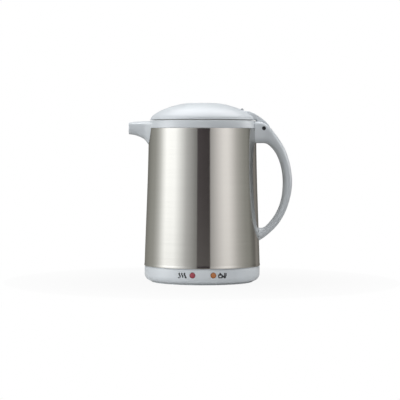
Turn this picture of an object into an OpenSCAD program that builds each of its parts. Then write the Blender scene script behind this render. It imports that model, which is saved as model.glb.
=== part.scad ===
// Electric handy pot: steel body, beak spout, D handle with a fork hinge, lid with a pour valve.
// Millimetres. Spout towards -X, handle towards +X, lamps towards -Y, Z up.
// The origin is on the body's axis at the floor.

/* [Body] */
// Steel radius just above the hem
body_r = 75.7; // [74:0.1:79]
// Radius the steel loses from hem to top
body_taper = 5.2; // [4:0.1:6.2]
// Height of the steel's top edge
body_top = 201; // [196:1:212]
// Thickness of the steel sheet
shell_t = 0.8; // [0.6:0.1:1]
// How far the hem flares out
hem_flare = 0.4; // [0.2:0.05:0.6]
// Shadow gap between hem and base
hem_gap = 0.9; // [0.6:0.1:1.4]
// Height of the vessel's floor
vessel_floor = 47; // [46:0.5:54]

/* [Base] */
// Height of the base band
base_h = 20.3; // [19.5:0.1:23]
// Radius of the base's lower edge
base_fillet = 8; // [6:0.5:9]
// Wall of the base
base_wall = 2.5; // [2:0.1:3]
// Height the rubber ring lifts the base
foot_h = 1.2; // [0.8:0.1:1.6]
// Diameter of a lamp lens
lamp_d = 7.4; // [6:0.1:8.6]
// Distance between the two lamps
lamp_pitch = 26.7; // [22:0.1:31]

/* [Shoulder and spout] */
// Height of the shoulder ring over the steel
ring_h = 10; // [9:0.5:12]
// Spout length beyond the steel's top radius
spout_reach = 26.8; // [22:0.2:32]
// Width of the spout's tip
spout_w = 20; // [17:0.5:24]
// Diameter of the pouring channel
spout_bore_d = 10.5; // [8:0.5:11.5]

/* [Lid] */
// Height of the dome above its rim
lid_h = 21; // [21:0.5:26]
// Share of the lid's radius that is flat crown
crown_share = 0.295; // [0.28:0.005:0.36]
// Wall of the dome
lid_wall = 2.3; // [1.8:0.1:2.5]
// Seam between shoulder and lid
lid_seam = 1; // [0.8:0.1:1.4]

/* [Handle] */
// Reach of the handle beyond the steel's top radius
handle_reach = 48; // [46:0.5:56]
// Height of the handle below the steel's top edge
handle_drop = 148.5; // [140:0.5:154]
// Width across the fork
fork_w = 39; // [37:0.5:44]
// Width of the lid's tongue in the fork
tongue_w = 25; // [24:0.5:27]
// Width of the grip
grip_w = 25; // [21:0.5:30]
// Diameter of the hinge pin
pin_d = 4; // [3:0.1:4.4]

/* [Pouring] */
// Travel of the pour button
button_travel = 3; // [2:0.1:3.3]
// Width of the pour button
button_w = 21; // [17:0.5:21.5]
// Diameter of the valve stem
stem_d = 5; // [4:0.1:5.6]
// Diameter of the valve's port
port_d = 16; // [13:0.5:17]
// Wire thickness of the valve spring
spring_wire = 0.9; // [0.7:0.05:1]

/* [Clearances] */
// Gap between pieces that move apart
move_gap = 0.4; // [0.3:0.05:0.5]
// Gap between fixed pieces
fit_gap = 0.2; // [0.1:0.05:0.3]
// Radial play of a pin or stem in its hole
pin_gap = 0.05; // [0.02:0.01:0.1]

/* [Hidden] */
$fn = 96;
eps = 0.01;
far = 400;
over = 1;

top_r = body_r - body_taper;
shell_z0 = base_h + hem_gap;
hem_rise = 4;
hem_z = shell_z0 + hem_rise;
hem_lip = 1.2;
hem_in_r = body_r - 2.9;
shell_flange = 3.4;

skirt_r = top_r - shell_flange - move_gap;
ring_r0 = top_r + 0.9;
ring_r1 = top_r - 1.3;
ring_edge = 0.6;
ring_z0 = body_top - 10.5;
ring_z1 = body_top + ring_h;
mouth_r = top_r - 11;
ledge_z = body_top - 7.5;
hollow_r0 = mouth_r + 2.4;
hollow_r1 = skirt_r - 2;
ring_roof = 3;
bore_z = body_top + 0.4;
plug_wall = 1.2;
plug_out = 2;
plug_in = 1;
notch_w = spout_bore_d + 2 * plug_wall + 2 * fit_gap;
notch_z = bore_z - spout_bore_d / 2 - plug_wall - fit_gap;

vessel_t = 0.8;
vessel_r = mouth_r - 7.5;
vessel_out_r = vessel_r + vessel_t;
vessel_corner = 10;
lip_r = mouth_r - 2.5;
gasket_t = 1;
lip_z = ledge_z + gasket_t;
lip_top = lip_z + vessel_t;
sleeve_r = vessel_out_r + 9;
sleeve_z1 = ring_z0 - 5.5;

base_r = body_r - 0.1;
base_in_r = base_r - base_wall;
base_floor = foot_h + 4;
cover_r = base_r - 17.6;
cover_ledge = 4;
cover_t = 2.5;
cover_sink = 0.4;
cover_z0 = foot_h + cover_sink;
cover_z1 = cover_z0 + cover_t;
cover_groove_r = cover_r - 26;
cover_groove_w = 1.2;
cover_groove_deep = 0.6;
label_l = 32;
label_w = 20;
label_deep = 0.4;
foot_r0 = cover_r + 2.4;
foot_r1 = base_r - base_fillet - 1;
foot_sink = 1.8;
tread_edge = 2.2;
tread_deep = 0.5;
seat_r = base_r - 1.2;
collar_r = hem_in_r - 0.3;
collar_t = 3;
collar_h = 8;
seat_t = 2.5;
base_edge = 0.7;
ledge_t = 2.5;
ledge_hold = 2;
boss_r = 4.5;
boss_at = cover_r - 7;
boss_z1 = foot_h + 10.8;
screw_r = 1.5;
head_r = 3;
head_h = 1.2;
head_sink = 0.2;
slot_l = 3.6;
slot_w = 0.7;
slot_deep = 0.7;
cover_screw_l = boss_z1 - cover_z0 - 3;

strap_az = 45;
strap_t = 2;
strap_w = 14;
strap_z1 = base_h - 8.3;
strap_end = base_in_r - 7;
ear_l = 9;
ear_t = 3;
ear_edge = 1;
stud_r = 2.5;
stud_at = 26;
stud_z0 = strap_z1 - 6.5;
nut_h = 3.5;
nut_r = 4.6;

plate_r = vessel_r - 10;
plate_z1 = vessel_floor - vessel_t;
plate_t = 3.2;
plate_z0 = plate_z1 - plate_t;
tube_at = 35;
tube_r = 3.2;
tube_flat = 0.8;
tube_turn = 300;
cold_pin_r = 1.8;
cold_pin_h = 10;
cold_pin_az = 4;
thermo_r = 8;
thermo_h = 8;
thermo_cap_r = 10;
thermo_cap_t = 1.5;
blade_at = 5;
blade_t = 0.8;
blade_w = 6;
blade_h = 7;
fuse_r = 2.4;
fuse_l = 14;
fuse_at = 20;
fuse_flat = 2;

lamp_z = base_h - 7.1;
lamp_az = asin(lamp_pitch / 2 / base_r);
lens_proud = 0.35;
lens_flange = 0.7;
lens_flange_t = 1.1;
lens_back = base_in_r - 0.8;
lens_groove = 0.45;
lens_groove_deep = 0.5;
board_y = base_in_r - 8.3;
board_t = 1.6;
board_w = 42;
board_lift = 2;
board_h = base_h - base_floor - 5.5;
board_foot_at = 17;
board_foot_w = 4;
board_foot_h = 3;
board_foot_lip = 1;
bulb_r = 2.2;
bulb_h = 2.6;
bulb_at = lamp_pitch * 0.47;

inlet_az = 90;
inlet_w = 34;
inlet_h = 11.6;
inlet_x0 = base_in_r - 12;
inlet_face = base_r - 0.4;
inlet_wall = 1.6;
inlet_back = 5;
inlet_pin_r = 2;
inlet_pin_y = 5.5;
inlet_pin_tail = 3;
inlet_pin_tip = 5;
magnet_w = 4.4;
magnet_h = 5;
magnet_t = 1;
lead_r = 1.3;
lead_bend = 3;
lead_h = 8;
inlet_z = base_floor + inlet_h / 2;
block_w = inlet_w + 6;
block_z0 = foot_h + 2.2;

pin_x = top_r + 9.3;
pin_z = body_top + 0.2;
pin_r = pin_d / 2;
fork_slot = tongue_w + 1.2;
pocket_r = 10.2;
knuckle_r = 7.5;
pin_sink = 1.8;
pin_short = 0.6;
pin_rim = 0.45;

lid_z0 = ring_z1 + lid_seam;
lid_r = top_r - 2.6;
crown_r = lid_r * crown_share;
lid_rim = 1.6;
lid_bead = 0.7;
lid_bead_h = 1;
lid_bead_edge = 0.3;
lid_steps = 22;
deck_t = 2.5;
deck_z1 = lid_z0 + deck_t;
deck_r = lid_r - lid_wall - fit_gap - 0.3;
seal_r0 = mouth_r + 0.8;
seal_r1 = deck_r - 1.4;
seal_groove = 1;
seal_z0 = ring_z1 + move_gap;
seal_lip = 1.2;
seal_lip_deep = 0.4;
lid_boss_r = 3.5;
lid_boss_at = top_r - 16.5;
lid_screw_az = [60, 150, 210, 300];
lid_screw_l = 7;
lid_screw_bite = 0.2;
stopper_r = mouth_r - 9.3;
stopper_wall = 2.4;
stopper_rim = mouth_r - 5.5;
stopper_t = 2.3;
stopper_z0 = body_top - 3;
stopper_z1 = stopper_z0 + stopper_t;
window_w = 24;
window_lift = 1;
window_roof = 2;
gasket_z0 = lip_top + move_gap;
gasket_r0 = vessel_r - 0.5;
gasket_r1 = mouth_r - 3.3;
gasket_bevel_r = 0.8;
gasket_bevel_h = 0.6;

stem_r = stem_d / 2;
disc_r = port_d / 2 + 3;
seal_t = 1;
seal_w = 4.8;
seal_edge = 0.2;
stem_seal_w = 2.6;
stem_seal_t = 1.4;
disc_t = 2;
valve_z0 = stopper_z1 + move_gap;
disc_z0 = valve_z0 + seal_t;
disc_z1 = disc_z0 + disc_t;
rocker_x = top_r - 42.5;
rocker_z = deck_z1 + 4.4;
button_x = top_r - 15.5;
rear_arm = button_x - rocker_x;
nub_r = 1.5;
nub_z = rocker_z - 0.5;
dip_z = nub_z - nub_r - button_travel - move_gap;
dip_l = 12;
dip_edge = 1;
stem_top = nub_z + nub_r + move_gap;
stem_head_r = 4.5;
stem_head_h = 2;
rocker_w = 12;
rocker_t = 2;
rocker_hub = 3;
yoke_x = rocker_x - 9;
rocker_pin_r = 1.5;
post_t = 3;
post_l = 6;
post_gap = rocker_w / 2 + move_gap;
post_top = rocker_z + 3.6;
button_x0 = button_x - 4.6;
button_x1 = button_x + 6.6;
button_z0 = nub_z + nub_r + move_gap;
button_lip = 1.2;
button_foot = 1.2;
button_foot_l = 5.4;
button_foot_out = 1.4;
button_wing = 2;

spring_r = 5.4;
spring_turns = 3.5;
spring_seat = 0.1;
spring_z0 = disc_z1 + spring_wire / 2 + spring_seat;
spring_z1 = lid_z0 - spring_wire / 2 - spring_seat;
spring_pitch = (spring_z1 - spring_z0) / spring_turns;
spring_open = spring_pitch - spring_wire;
spring_shut = spring_pitch - button_travel * rocker_x / rear_arm / spring_turns - spring_wire;
spring_sides = 6;
spring_rings = 8;

screw_upper_z = ring_z0 - 5.2;
screw_lower_z = body_top - 0.94 * handle_drop;
screw_y = 8;
screw_y_low = 4.8;
screw_grip = 7;
screw_seat = 0.05;
back_t = 1.6;
back_w = 30;
back_w_low = 21;
back_h = 9;

steel = [0.72, 0.71, 0.69];
dark_steel = [0.5, 0.5, 0.5];
pale = [0.86, 0.88, 0.9];
soft_grey = [0.45, 0.47, 0.5];
white_rubber = [0.8, 0.8, 0.78];
black = [0.1, 0.1, 0.1];

echo(spring_gap_at_rest = spring_open, spring_gap_pressed = spring_shut);

// Radius of the steel cone at a height
function shell_r(z) = body_r - body_taper * (z - hem_z) / (body_top - hem_z);

// Smooth curve through a list of keys, u counting keys
function blend(a, b, c, d, t) = 0.5 * (2 * b + (c - a) * t + (2 * a - 5 * b + 4 * c - d) * t * t
    + (3 * b - a - 3 * c + d) * t * t * t);
function along(keys, u) = let (n = len(keys) - 1, i = min(floor(u), n - 1))
    blend(keys[max(i - 1, 0)], keys[i], keys[i + 1], keys[min(i + 2, n)], u - i);
function signed_pow(v, p) = sign(v) * pow(abs(v), p);

// Height of the dome over its base at a radius
function dome_h(r, r0, r1, h) = r <= r0 ? h : h * pow(max(0, 1 - pow((r - r0) / (r1 - r0), 1.4)), 0.65);

// Outer height of the lid at a radius
function lid_top(r) = lid_z0 + lid_rim + dome_h(r, crown_r, lid_r, lid_h);

module loft(rings) {
    n = len(rings[0]);
    m = len(rings);
    points = [for (ring = rings) for (p = ring) p];
    sides = [for (i = [0:m - 2]) for (j = [0:n - 1]) for (half = [0, 1])
        let (a = i * n + j, b = i * n + (j + 1) % n)
        half == 0 ? [a, a + n, b] : [b, a + n, b + n]];
    first = [for (j = [0:n - 1]) j];
    last = [for (j = [0:n - 1]) m * n - 1 - j];
    polyhedron(points, concat([first], sides, [last]), convexity = 8);
}

module ring(r0, r1, z0, z1) {
    rotate_extrude()
        translate([r0, z0])
            square([r1 - r0, z1 - z0]);
}

module turn_at(az, r) {
    rotate([0, 0, az])
        translate([r, 0, 0])
            children();
}

module along_x(r, x0, x1) {
    translate([x0, 0, 0])
        rotate([0, 90, 0])
            cylinder(r = r, h = x1 - x0);
}

module along_y(r, w) {
    rotate([90, 0, 0])
        cylinder(r = r, h = w, center = true);
}

// Half outline of a drum with a rounded lower edge
module drum(r, z0, z1, f) {
    translate([0, z0])
        square([r - f, z1 - z0]);
    translate([0, z0 + f])
        square([r, z1 - z0 - f]);
    translate([r - f, z0 + f])
        circle(r = f);
}

// Side outline in X and Z, given a width along Y
module slab(w) {
    rotate([90, 0, 0])
        linear_extrude(height = w, center = true)
            children();
}

// Everything within the steel and the shoulder, grown by a gap
module body_envelope(g) {
    rotate_extrude()
        polygon([[0, hem_z], [body_r + g, hem_z], [top_r + g, body_top - g], [ring_r0 + g, body_top - g],
            [ring_r0 + g, body_top], [ring_r1 + g, ring_z1 + eps], [ring_r1 + g, far], [0, far]]);
}

module handle_screw_spots() {
    for (spot = [[screw_upper_z, screw_y], [screw_upper_z, -screw_y], [screw_lower_z, screw_y_low],
        [screw_lower_z, -screw_y_low]])
        translate([0, spot[1], spot[0]])
            children();
}

module outer_shell() {
    color(steel)
        difference() {
            rotate_extrude()
                polygon([[hem_in_r, shell_z0], [body_r + hem_flare, shell_z0],
                    [body_r + hem_flare, shell_z0 + hem_lip], [body_r, hem_z], [top_r, body_top],
                    [top_r - shell_flange, body_top], [top_r - shell_flange, body_top - shell_t],
                    [top_r - shell_t, body_top - shell_t], [body_r - shell_t, hem_z],
                    [body_r + hem_flare - shell_t, shell_z0 + hem_lip],
                    [body_r + hem_flare - shell_t, shell_z0 + shell_t], [hem_in_r, shell_z0 + shell_t]]);
            translate([-far, -notch_w / 2, notch_z])
                cube([far, notch_w, far]);
            handle_screw_spots()
                along_x(screw_r + fit_gap, 0, far);
        }
}

// Keys along the spout: reach share, crown, arch of the top, underside, half width, roundness below
spout_keys = [[-0.6, 9.4, 3.7, -24.4, 30, 0.3], [-0.19, 9.4, 3.7, -24, 24.7, 0.3],
    [0, 9.3, 3.6, -21.8, 21.2, 0.33], [0.12, 9.2, 3.5, -17.6, 19, 0.38],
    [0.24, 9.1, 3.4, -14.3, 17.2, 0.44], [0.43, 8.9, 3.2, -11.5, 15.2, 0.52],
    [0.68, 8.4, 2.7, -9.2, 12.6, 0.58], [0.9, 7.8, 2.2, -8.2, 10.6, 0.62],
    [0.97, 7.4, 1.9, -7.9, 10, 0.62], [1, 6.8, 1.5, -7.3, 9.2, 0.62]];
spout_sides = 18;
spout_roof = 6;
spout_steps = 3;

function spout_ring(k) = let (x = -top_r - k[0] * spout_reach, w = k[4] * spout_w / 20,
    edge = body_top + k[1] - k[2])
    concat([for (j = [0:spout_sides])
        let (a = 180 * j / spout_sides)
        [x, w * cos(a), edge - (k[1] - k[2] - k[3]) * pow(sin(a), k[5])]],
    [for (j = [1:spout_roof - 1])
        let (u = 2 * j / spout_roof - 1)
        [x, w * u, edge + k[2] * (1 - u * u)]]);

module spout() {
    n = (len(spout_keys) - 1) * spout_steps;
    difference() {
        loft([for (i = [0:n]) spout_ring(along(spout_keys, i / spout_steps))]);
        rotate_extrude()
            polygon([[0, hem_z], [body_r + fit_gap, hem_z], [top_r + fit_gap, body_top], [skirt_r, body_top],
                [skirt_r, ring_z1 + eps], [0, ring_z1 + eps]]);
    }
}

module shoulder_ring() {
    color(pale)
        difference() {
            union() {
                rotate_extrude()
                    polygon([[vessel_out_r + fit_gap, ring_z0], [skirt_r, ring_z0], [skirt_r, body_top],
                        [ring_r0, body_top], [ring_r1, ring_z1 - ring_edge], [ring_r1 - ring_edge, ring_z1],
                        [mouth_r, ring_z1], [mouth_r, ledge_z], [vessel_out_r + fit_gap, ledge_z]]);
                spout();
                translate([-top_r - plug_out, fit_gap - notch_w / 2, notch_z + fit_gap])
                    cube([top_r + plug_out + plug_in - skirt_r, notch_w - 2 * fit_gap,
                        body_top + over - notch_z - fit_gap]);
            }
            difference() {
                ring(hollow_r0, hollow_r1, ring_z0 - over, ring_z1 - ring_roof);
                translate([-far, -notch_w / 2, 0])
                    cube([far, notch_w, far]);
            }
            translate([0, 0, bore_z])
                along_x(spout_bore_d / 2, -far, -vessel_r);
        }
}

module inner_vessel() {
    color(steel) {
        rotate_extrude() {
            difference() {
                union() {
                    drum(vessel_out_r, vessel_floor - vessel_t, lip_top, vessel_corner + vessel_t);
                    translate([0, lip_z])
                        square([lip_r, vessel_t]);
                }
                drum(vessel_r, vessel_floor, lip_top + over, vessel_corner);
                translate([-far, 0])
                    square([far, far]);
            }
        }
        for (side = [0, 180])
            turn_at(strap_az + side, stud_at)
                translate([0, 0, stud_z0])
                    cylinder(r = stud_r, h = plate_z1 + vessel_t / 2 - stud_z0);
    }
}

module vessel_gasket() {
    color(white_rubber)
        ring(vessel_out_r + fit_gap, lip_r, ledge_z, lip_z);
}

module insulation_sleeve() {
    color([0.9, 0.88, 0.8])
        ring(vessel_out_r, sleeve_r, vessel_floor + vessel_corner, sleeve_z1);
}

module lamp_spots() {
    for (side = [-1, 1])
        rotate([0, 0, side * lamp_az - 90])
            translate([0, 0, lamp_z])
                children();
}

// The supply and the heater's ends face the back
module at_inlet() {
    rotate([0, 0, inlet_az])
        children();
}

module base_housing() {
    color(pale)
        difference() {
            union() {
                rotate_extrude() {
                    difference() {
                        drum(base_r, foot_h, base_h, base_fillet);
                        drum(base_in_r, base_floor, far, max(base_fillet - base_wall, 1));
                        translate([-far, 0])
                            square([far, far]);
                        polygon([[base_r - base_edge, base_h + eps], [base_r + eps, base_h - base_edge],
                            [base_r + eps, base_h + eps]]);
                    }
                    translate([collar_r - collar_t, base_h - seat_t])
                        square([seat_r - collar_r + collar_t, seat_t + hem_gap]);
                    translate([collar_r - collar_t, base_h - seat_t])
                        square([collar_t, collar_h]);
                    translate([cover_r - cover_ledge, cover_z1])
                        square([cover_ledge + ledge_hold, ledge_t]);
                }
                at_inlet()
                    intersection() {
                        ring(base_r - base_fillet, base_r - fit_gap / 2, block_z0,
                            foot_h + base_fillet + over);
                        translate([0, -block_w / 2, 0])
                            cube([far, block_w, far]);
                    }
                for (side = [0, 180])
                    intersection() {
                        ring(strap_end - ear_l, base_in_r + over, strap_z1, strap_z1 + ear_t);
                        rotate([0, 0, strap_az + side])
                            translate([0, -strap_w / 2 - ear_edge, 0])
                                cube([far, strap_w + 2 * ear_edge, far]);
                    }
                for (az = [0:90:270])
                    turn_at(az, boss_at)
                        translate([0, 0, cover_z1])
                            cylinder(r = boss_r, h = boss_z1 - cover_z1);
                for (side = [-1, 1])
                    translate([side * board_foot_at - board_foot_w / 2, -board_y - board_t - board_foot_lip,
                        base_floor + board_lift - board_foot_h])
                        cube([board_foot_w, board_t + 2 * board_foot_lip, board_foot_h]);
            }
            ring(0, cover_r + fit_gap, -over, cover_z1);
            ring(0, cover_r - cover_ledge - 2 * boss_r, 0, far);
            ring(foot_r0 - fit_gap, foot_r1 + fit_gap, 0, foot_h + foot_sink);
            for (az = [0:90:270])
                turn_at(az, boss_at)
                    translate([0, 0, cover_z1 - over])
                        cylinder(r = screw_r, h = boss_z1 - cover_z1 - over);
            lamp_spots() {
                along_x(lamp_d / 2 + pin_gap, lens_back, far);
                along_x(lamp_d / 2 + lens_groove, base_r - lens_groove_deep, far);
            }
            at_inlet()
                translate([inlet_x0 - over, -inlet_w / 2 - fit_gap, base_floor])
                    cube([far, inlet_w + 2 * fit_gap, inlet_h + fit_gap]);
        }
}

module bottom_cover() {
    color(pale)
        difference() {
            ring(0, cover_r, cover_z0, cover_z1);
            for (az = [0:90:270])
                turn_at(az, boss_at) {
                    cylinder(r = screw_r + fit_gap, h = far);
                    translate([0, 0, cover_z0 - over])
                        cylinder(r = head_r + fit_gap, h = over + head_h + head_sink);
                }
            ring(cover_groove_r, cover_groove_r + cover_groove_w, 0, cover_z0 + cover_groove_deep);
            translate([-label_l / 2, -label_w / 2, 0])
                cube([label_l, label_w, cover_z0 + label_deep]);
        }
}

module foot_ring() {
    color(soft_grey)
        difference() {
            ring(foot_r0, foot_r1, 0, foot_h + foot_sink);
            ring(foot_r0 + tread_edge, foot_r1 - tread_edge, -over, tread_deep);
        }
}

// Screw standing on its cross-slotted head
module cross_screw(r, l) {
    difference() {
        union() {
            cylinder(r = head_r, h = head_h);
            cylinder(r = r, h = l);
        }
        for (turn = [0, 90])
            rotate([0, 0, turn])
                translate([-slot_l / 2, -slot_w / 2, -over])
                    cube([slot_l, slot_w, over + slot_deep]);
    }
}

module cover_screws() {
    color(dark_steel)
        for (az = [0:90:270])
            turn_at(az, boss_at)
                translate([0, 0, cover_z0 + head_sink])
                    cross_screw(screw_r - pin_gap, cover_screw_l);
}

module clamp_strap() {
    color(dark_steel)
        rotate([0, 0, strap_az])
            difference() {
                intersection() {
                    ring(0, strap_end, strap_z1 - strap_t, strap_z1);
                    translate([-far, -strap_w / 2, 0])
                        cube([2 * far, strap_w, far]);
                }
                for (side = [-1, 1])
                    translate([side * stud_at, 0, 0])
                        cylinder(r = stud_r + fit_gap, h = far);
            }
}

module strap_nuts() {
    color(dark_steel)
        for (side = [0, 180])
            turn_at(strap_az + side, stud_at)
                translate([0, 0, strap_z1 - strap_t - nut_h])
                    difference() {
                        cylinder(r = nut_r, h = nut_h, $fn = 6);
                        translate([0, 0, -over])
                            cylinder(r = stud_r + pin_gap, h = nut_h + 2 * over);
                    }
}

module heater_plate() {
    color([0.75, 0.75, 0.76])
        difference() {
            ring(0, plate_r, plate_z0, plate_z1);
            for (side = [0, 180])
                turn_at(strap_az + side, stud_at)
                    cylinder(r = stud_r + fit_gap, h = far);
        }
}

module heater_tube() {
    turn = (360 - tube_turn) / 2;
    z = plate_z0 - tube_r + tube_flat;
    color(dark_steel)
        at_inlet() {
            rotate([0, 0, turn])
                rotate_extrude(angle = tube_turn)
                    intersection() {
                        translate([tube_at, z])
                            circle(r = tube_r);
                        translate([tube_at - tube_r, z - tube_r])
                            square([2 * tube_r, 2 * tube_r - tube_flat]);
                    }
            for (side = [-1, 1])
                turn_at(side * (turn + cold_pin_az), tube_at)
                    translate([0, 0, z - over - cold_pin_h])
                        cylinder(r = cold_pin_r, h = cold_pin_h);
        }
}

module thermostat() {
    color([0.75, 0.7, 0.62]) {
        translate([0, 0, plate_z0 - thermo_cap_t])
            cylinder(r = thermo_cap_r, h = thermo_cap_t);
        translate([0, 0, plate_z0 - thermo_h])
            cylinder(r = thermo_r, h = thermo_h - over);
        for (side = [-1, 1])
            translate([side * blade_at - blade_t / 2, -blade_w / 2, plate_z0 - thermo_h + over - blade_h])
                cube([blade_t, blade_w, blade_h]);
    }
}

module thermal_fuse() {
    color([0.8, 0.75, 0.5])
        translate([0, -fuse_at, plate_z0 - fuse_flat])
            intersection() {
                along_x(fuse_r, -fuse_l / 2, fuse_l / 2);
                translate([-far, -far, -far])
                    cube([2 * far, 2 * far, far + fuse_flat]);
            }
}

module lamp_board() {
    color([0.35, 0.3, 0.2])
        translate([-board_w / 2, -board_y - board_t, base_floor + board_lift])
            cube([board_w, board_t, board_h]);
}

module lamps() {
    color([0.9, 0.85, 0.8])
        for (side = [-1, 1])
            translate([side * bulb_at, -board_y - board_t, lamp_z])
                rotate([90, 0, 0])
                    cylinder(r = bulb_r, h = bulb_h);
}

module lens() {
    along_x(lamp_d / 2, lens_back - eps, base_r + lens_proud);
    along_x(lamp_d / 2 + lens_flange, lens_back - lens_flange_t, lens_back);
}

module boil_lens() {
    color([0.8, 0.1, 0.08])
        rotate([0, 0, -90 - lamp_az])
            translate([0, 0, lamp_z])
                lens();
}

module warm_lens() {
    color([0.95, 0.5, 0.1])
        rotate([0, 0, -90 + lamp_az])
            translate([0, 0, lamp_z])
                lens();
}

module power_inlet() {
    color(black)
        at_inlet()
            difference() {
                intersection() {
                    translate([inlet_x0, -inlet_w / 2, base_floor])
                        cube([far, inlet_w, inlet_h]);
                    ring(0, inlet_face, 0, far);
                }
                translate([inlet_x0 + inlet_back, inlet_wall - inlet_w / 2, base_floor + inlet_wall])
                    cube([far, inlet_w - 2 * inlet_wall, inlet_h - 2 * inlet_wall]);
                for (side = [-1, 1])
                    translate([0, side * inlet_pin_y, inlet_z])
                        along_x(inlet_pin_r, 0, far);
            }
}

module inlet_pins() {
    color([0.8, 0.7, 0.4])
        at_inlet()
            for (side = [-1, 1])
                translate([0, side * inlet_pin_y, inlet_z])
                    along_x(inlet_pin_r - pin_gap, inlet_x0 - inlet_pin_tail,
                        inlet_x0 + inlet_back + inlet_pin_tip);
}

module inlet_magnets() {
    color(dark_steel)
        at_inlet()
            for (side = [-1, 1])
                translate([inlet_x0 + inlet_back, side * 2 * inlet_pin_y - magnet_w / 2,
                    inlet_z - magnet_h / 2])
                    cube([magnet_t, magnet_w, magnet_h]);
}

// Two insulated leads from the inlet's pins up towards the heater's ends
module leads() {
    color([0.75, 0.2, 0.15])
        at_inlet()
            for (side = [-1, 1])
                translate([inlet_x0 - inlet_pin_tail, side * inlet_pin_y, inlet_z + lead_bend]) {
                    rotate([-90, 0, 180])
                        rotate_extrude(angle = 90)
                            translate([lead_bend, 0])
                                circle(r = lead_r);
                    translate([-lead_bend, 0, 0])
                        cylinder(r = lead_r, h = lead_h);
                }
}

// Keys around the handle: outer and inner edge as reach and drop, half width as a share, squareness
handle_keys = [
    [-8, 9.2, -8, -19.2, 1, 5.5], [0, 9.2, 0, -19.2, 1, 5.5], [5.5, 9.2, 5.5, -19.2, 1, 5.5],
    [12.5, 6.3, 10, -19.2, 1, 5], [17.8, 2, 14.5, -20.2, 0.99, 4.4], [23.2, -5, 19, -23.6, 0.94, 3.8],
    [30.2, -13.8, 23.4, -28.6, 0.84, 3.3], [37.9, -26.6, 28.1, -36.5, 0.74, 3],
    [44, -43.4, 32.1, -47.4, 0.67, 2.8], [47.2, -60, 34.6, -60.2, 0.64, 2.7],
    [47.9, -74, 35.2, -74, 0.64, 2.7], [46.2, -88, 34.1, -88, 0.63, 2.7],
    [42.4, -102.5, 30.9, -101, 0.62, 2.7], [36.4, -116, 25.6, -112, 0.6, 2.8],
    [27.5, -129, 18.6, -121.5, 0.58, 2.9], [15.5, -140.3, 10, -128, 0.57, 3.1],
    [4.8, -147.7, 3.5, -130.2, 0.57, 3.3], [-5, -152, -5, -130.4, 0.57, 3.3]];
handle_sides = 28;
drawn_reach = 48;
drawn_drop = 148.5;
fork_reach = 20;
grip_share = 0.64;
handle_steps = 3;

function handle_w(share) = share > grip_share
    ? grip_w / 2 + (fork_w - grip_w) / 2 * (share - grip_share) / (1 - grip_share)
    : grip_w / 2 * share / grip_share;

// Beyond the fork the drawn reach and drop stretch to the chosen ones
function handle_x(x) = x * (1 + (handle_reach / drawn_reach - 1) * min(1, max(0, x) / fork_reach));
function handle_z(z) = z > -fork_reach ? z
    : -fork_reach + (z + fork_reach) * (handle_drop - fork_reach) / (drawn_drop - fork_reach);

function handle_ring(k) = [for (j = [0:handle_sides - 1])
    let (a = 360 * j / handle_sides, p = 2 / k[5], s = signed_pow(cos(a), p), w = handle_w(k[4]),
        x = (k[0] + k[2]) / 2 + (k[0] - k[2]) / 2 * s, z = (k[1] + k[3]) / 2 + (k[1] - k[3]) / 2 * s)
    [top_r + handle_x(x), -w * signed_pow(sin(a), p), body_top + handle_z(z)]];

module handle() {
    n = (len(handle_keys) - 1) * handle_steps;
    color(pale)
        difference() {
            loft([for (i = [0:n]) handle_ring(along(handle_keys, i / handle_steps))]);
            body_envelope(fit_gap);
            translate([pin_x, 0, pin_z]) {
                along_y(pocket_r, fork_slot);
                translate([-far, -fork_slot / 2, 0])
                    cube([far + pocket_r, fork_slot, far]);
                along_y(pin_r + pin_gap / 2, far);
                for (side = [-1, 1])
                    translate([0, side * (far / 2 + fork_w / 2 - pin_sink), 0])
                        along_y(pin_r + pin_rim, far);
            }
            handle_screw_spots()
                along_x(screw_r, 0, shell_r(screw_lower_z) + screw_grip + 2 * over);
        }
}

module back_plate(z, w) {
    inside = shell_r(z) - shell_t - screw_seat;
    intersection() {
        rotate_extrude()
            polygon([[inside - back_t, z - back_h / 2],
                [shell_r(z - back_h / 2) - shell_t - screw_seat, z - back_h / 2],
                [shell_r(z + back_h / 2) - shell_t - screw_seat, z + back_h / 2],
                [inside - back_t, z + back_h / 2]]);
        translate([0, -w / 2, 0])
            cube([far, w, far]);
    }
}

module handle_plates() {
    color(dark_steel)
        difference() {
            union() {
                back_plate(screw_upper_z, back_w);
                back_plate(screw_lower_z, back_w_low);
            }
            handle_screw_spots()
                along_x(screw_r + fit_gap, 0, far);
        }
}

module handle_screw(z, y) {
    inside = shell_r(z) - shell_t - screw_seat - back_t;
    seat = sqrt(pow(inside, 2) - pow(abs(y) + head_r, 2)) - screw_seat;
    translate([0, y, z]) {
        along_x(head_r, seat - head_h, seat);
        along_x(screw_r - pin_gap, seat - eps, shell_r(z) + screw_grip);
    }
}

module handle_screws() {
    color(dark_steel)
        for (side = [-1, 1]) {
            handle_screw(screw_upper_z, side * screw_y);
            handle_screw(screw_lower_z, side * screw_y_low);
        }
}

module hinge_pin() {
    color(dark_steel)
        translate([pin_x, 0, pin_z])
            along_y(pin_r, fork_w - 2 * pin_sink - pin_short);
}

// Half outline of the dome from a height, sunk by a wall
module dome(t, z0) {
    r1 = lid_r - t;
    r0 = crown_r;
    h = lid_h - t;
    polygon(concat([[0, z0], [r1, z0]],
        [for (i = [0:lid_steps]) let (a = 90 * i / lid_steps, r = r0 + (r1 - r0) * cos(a))
            [r, lid_z0 + lid_rim + dome_h(r, r0, r1, h)]],
        [[0, lid_z0 + lid_rim + h]]));
}

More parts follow.
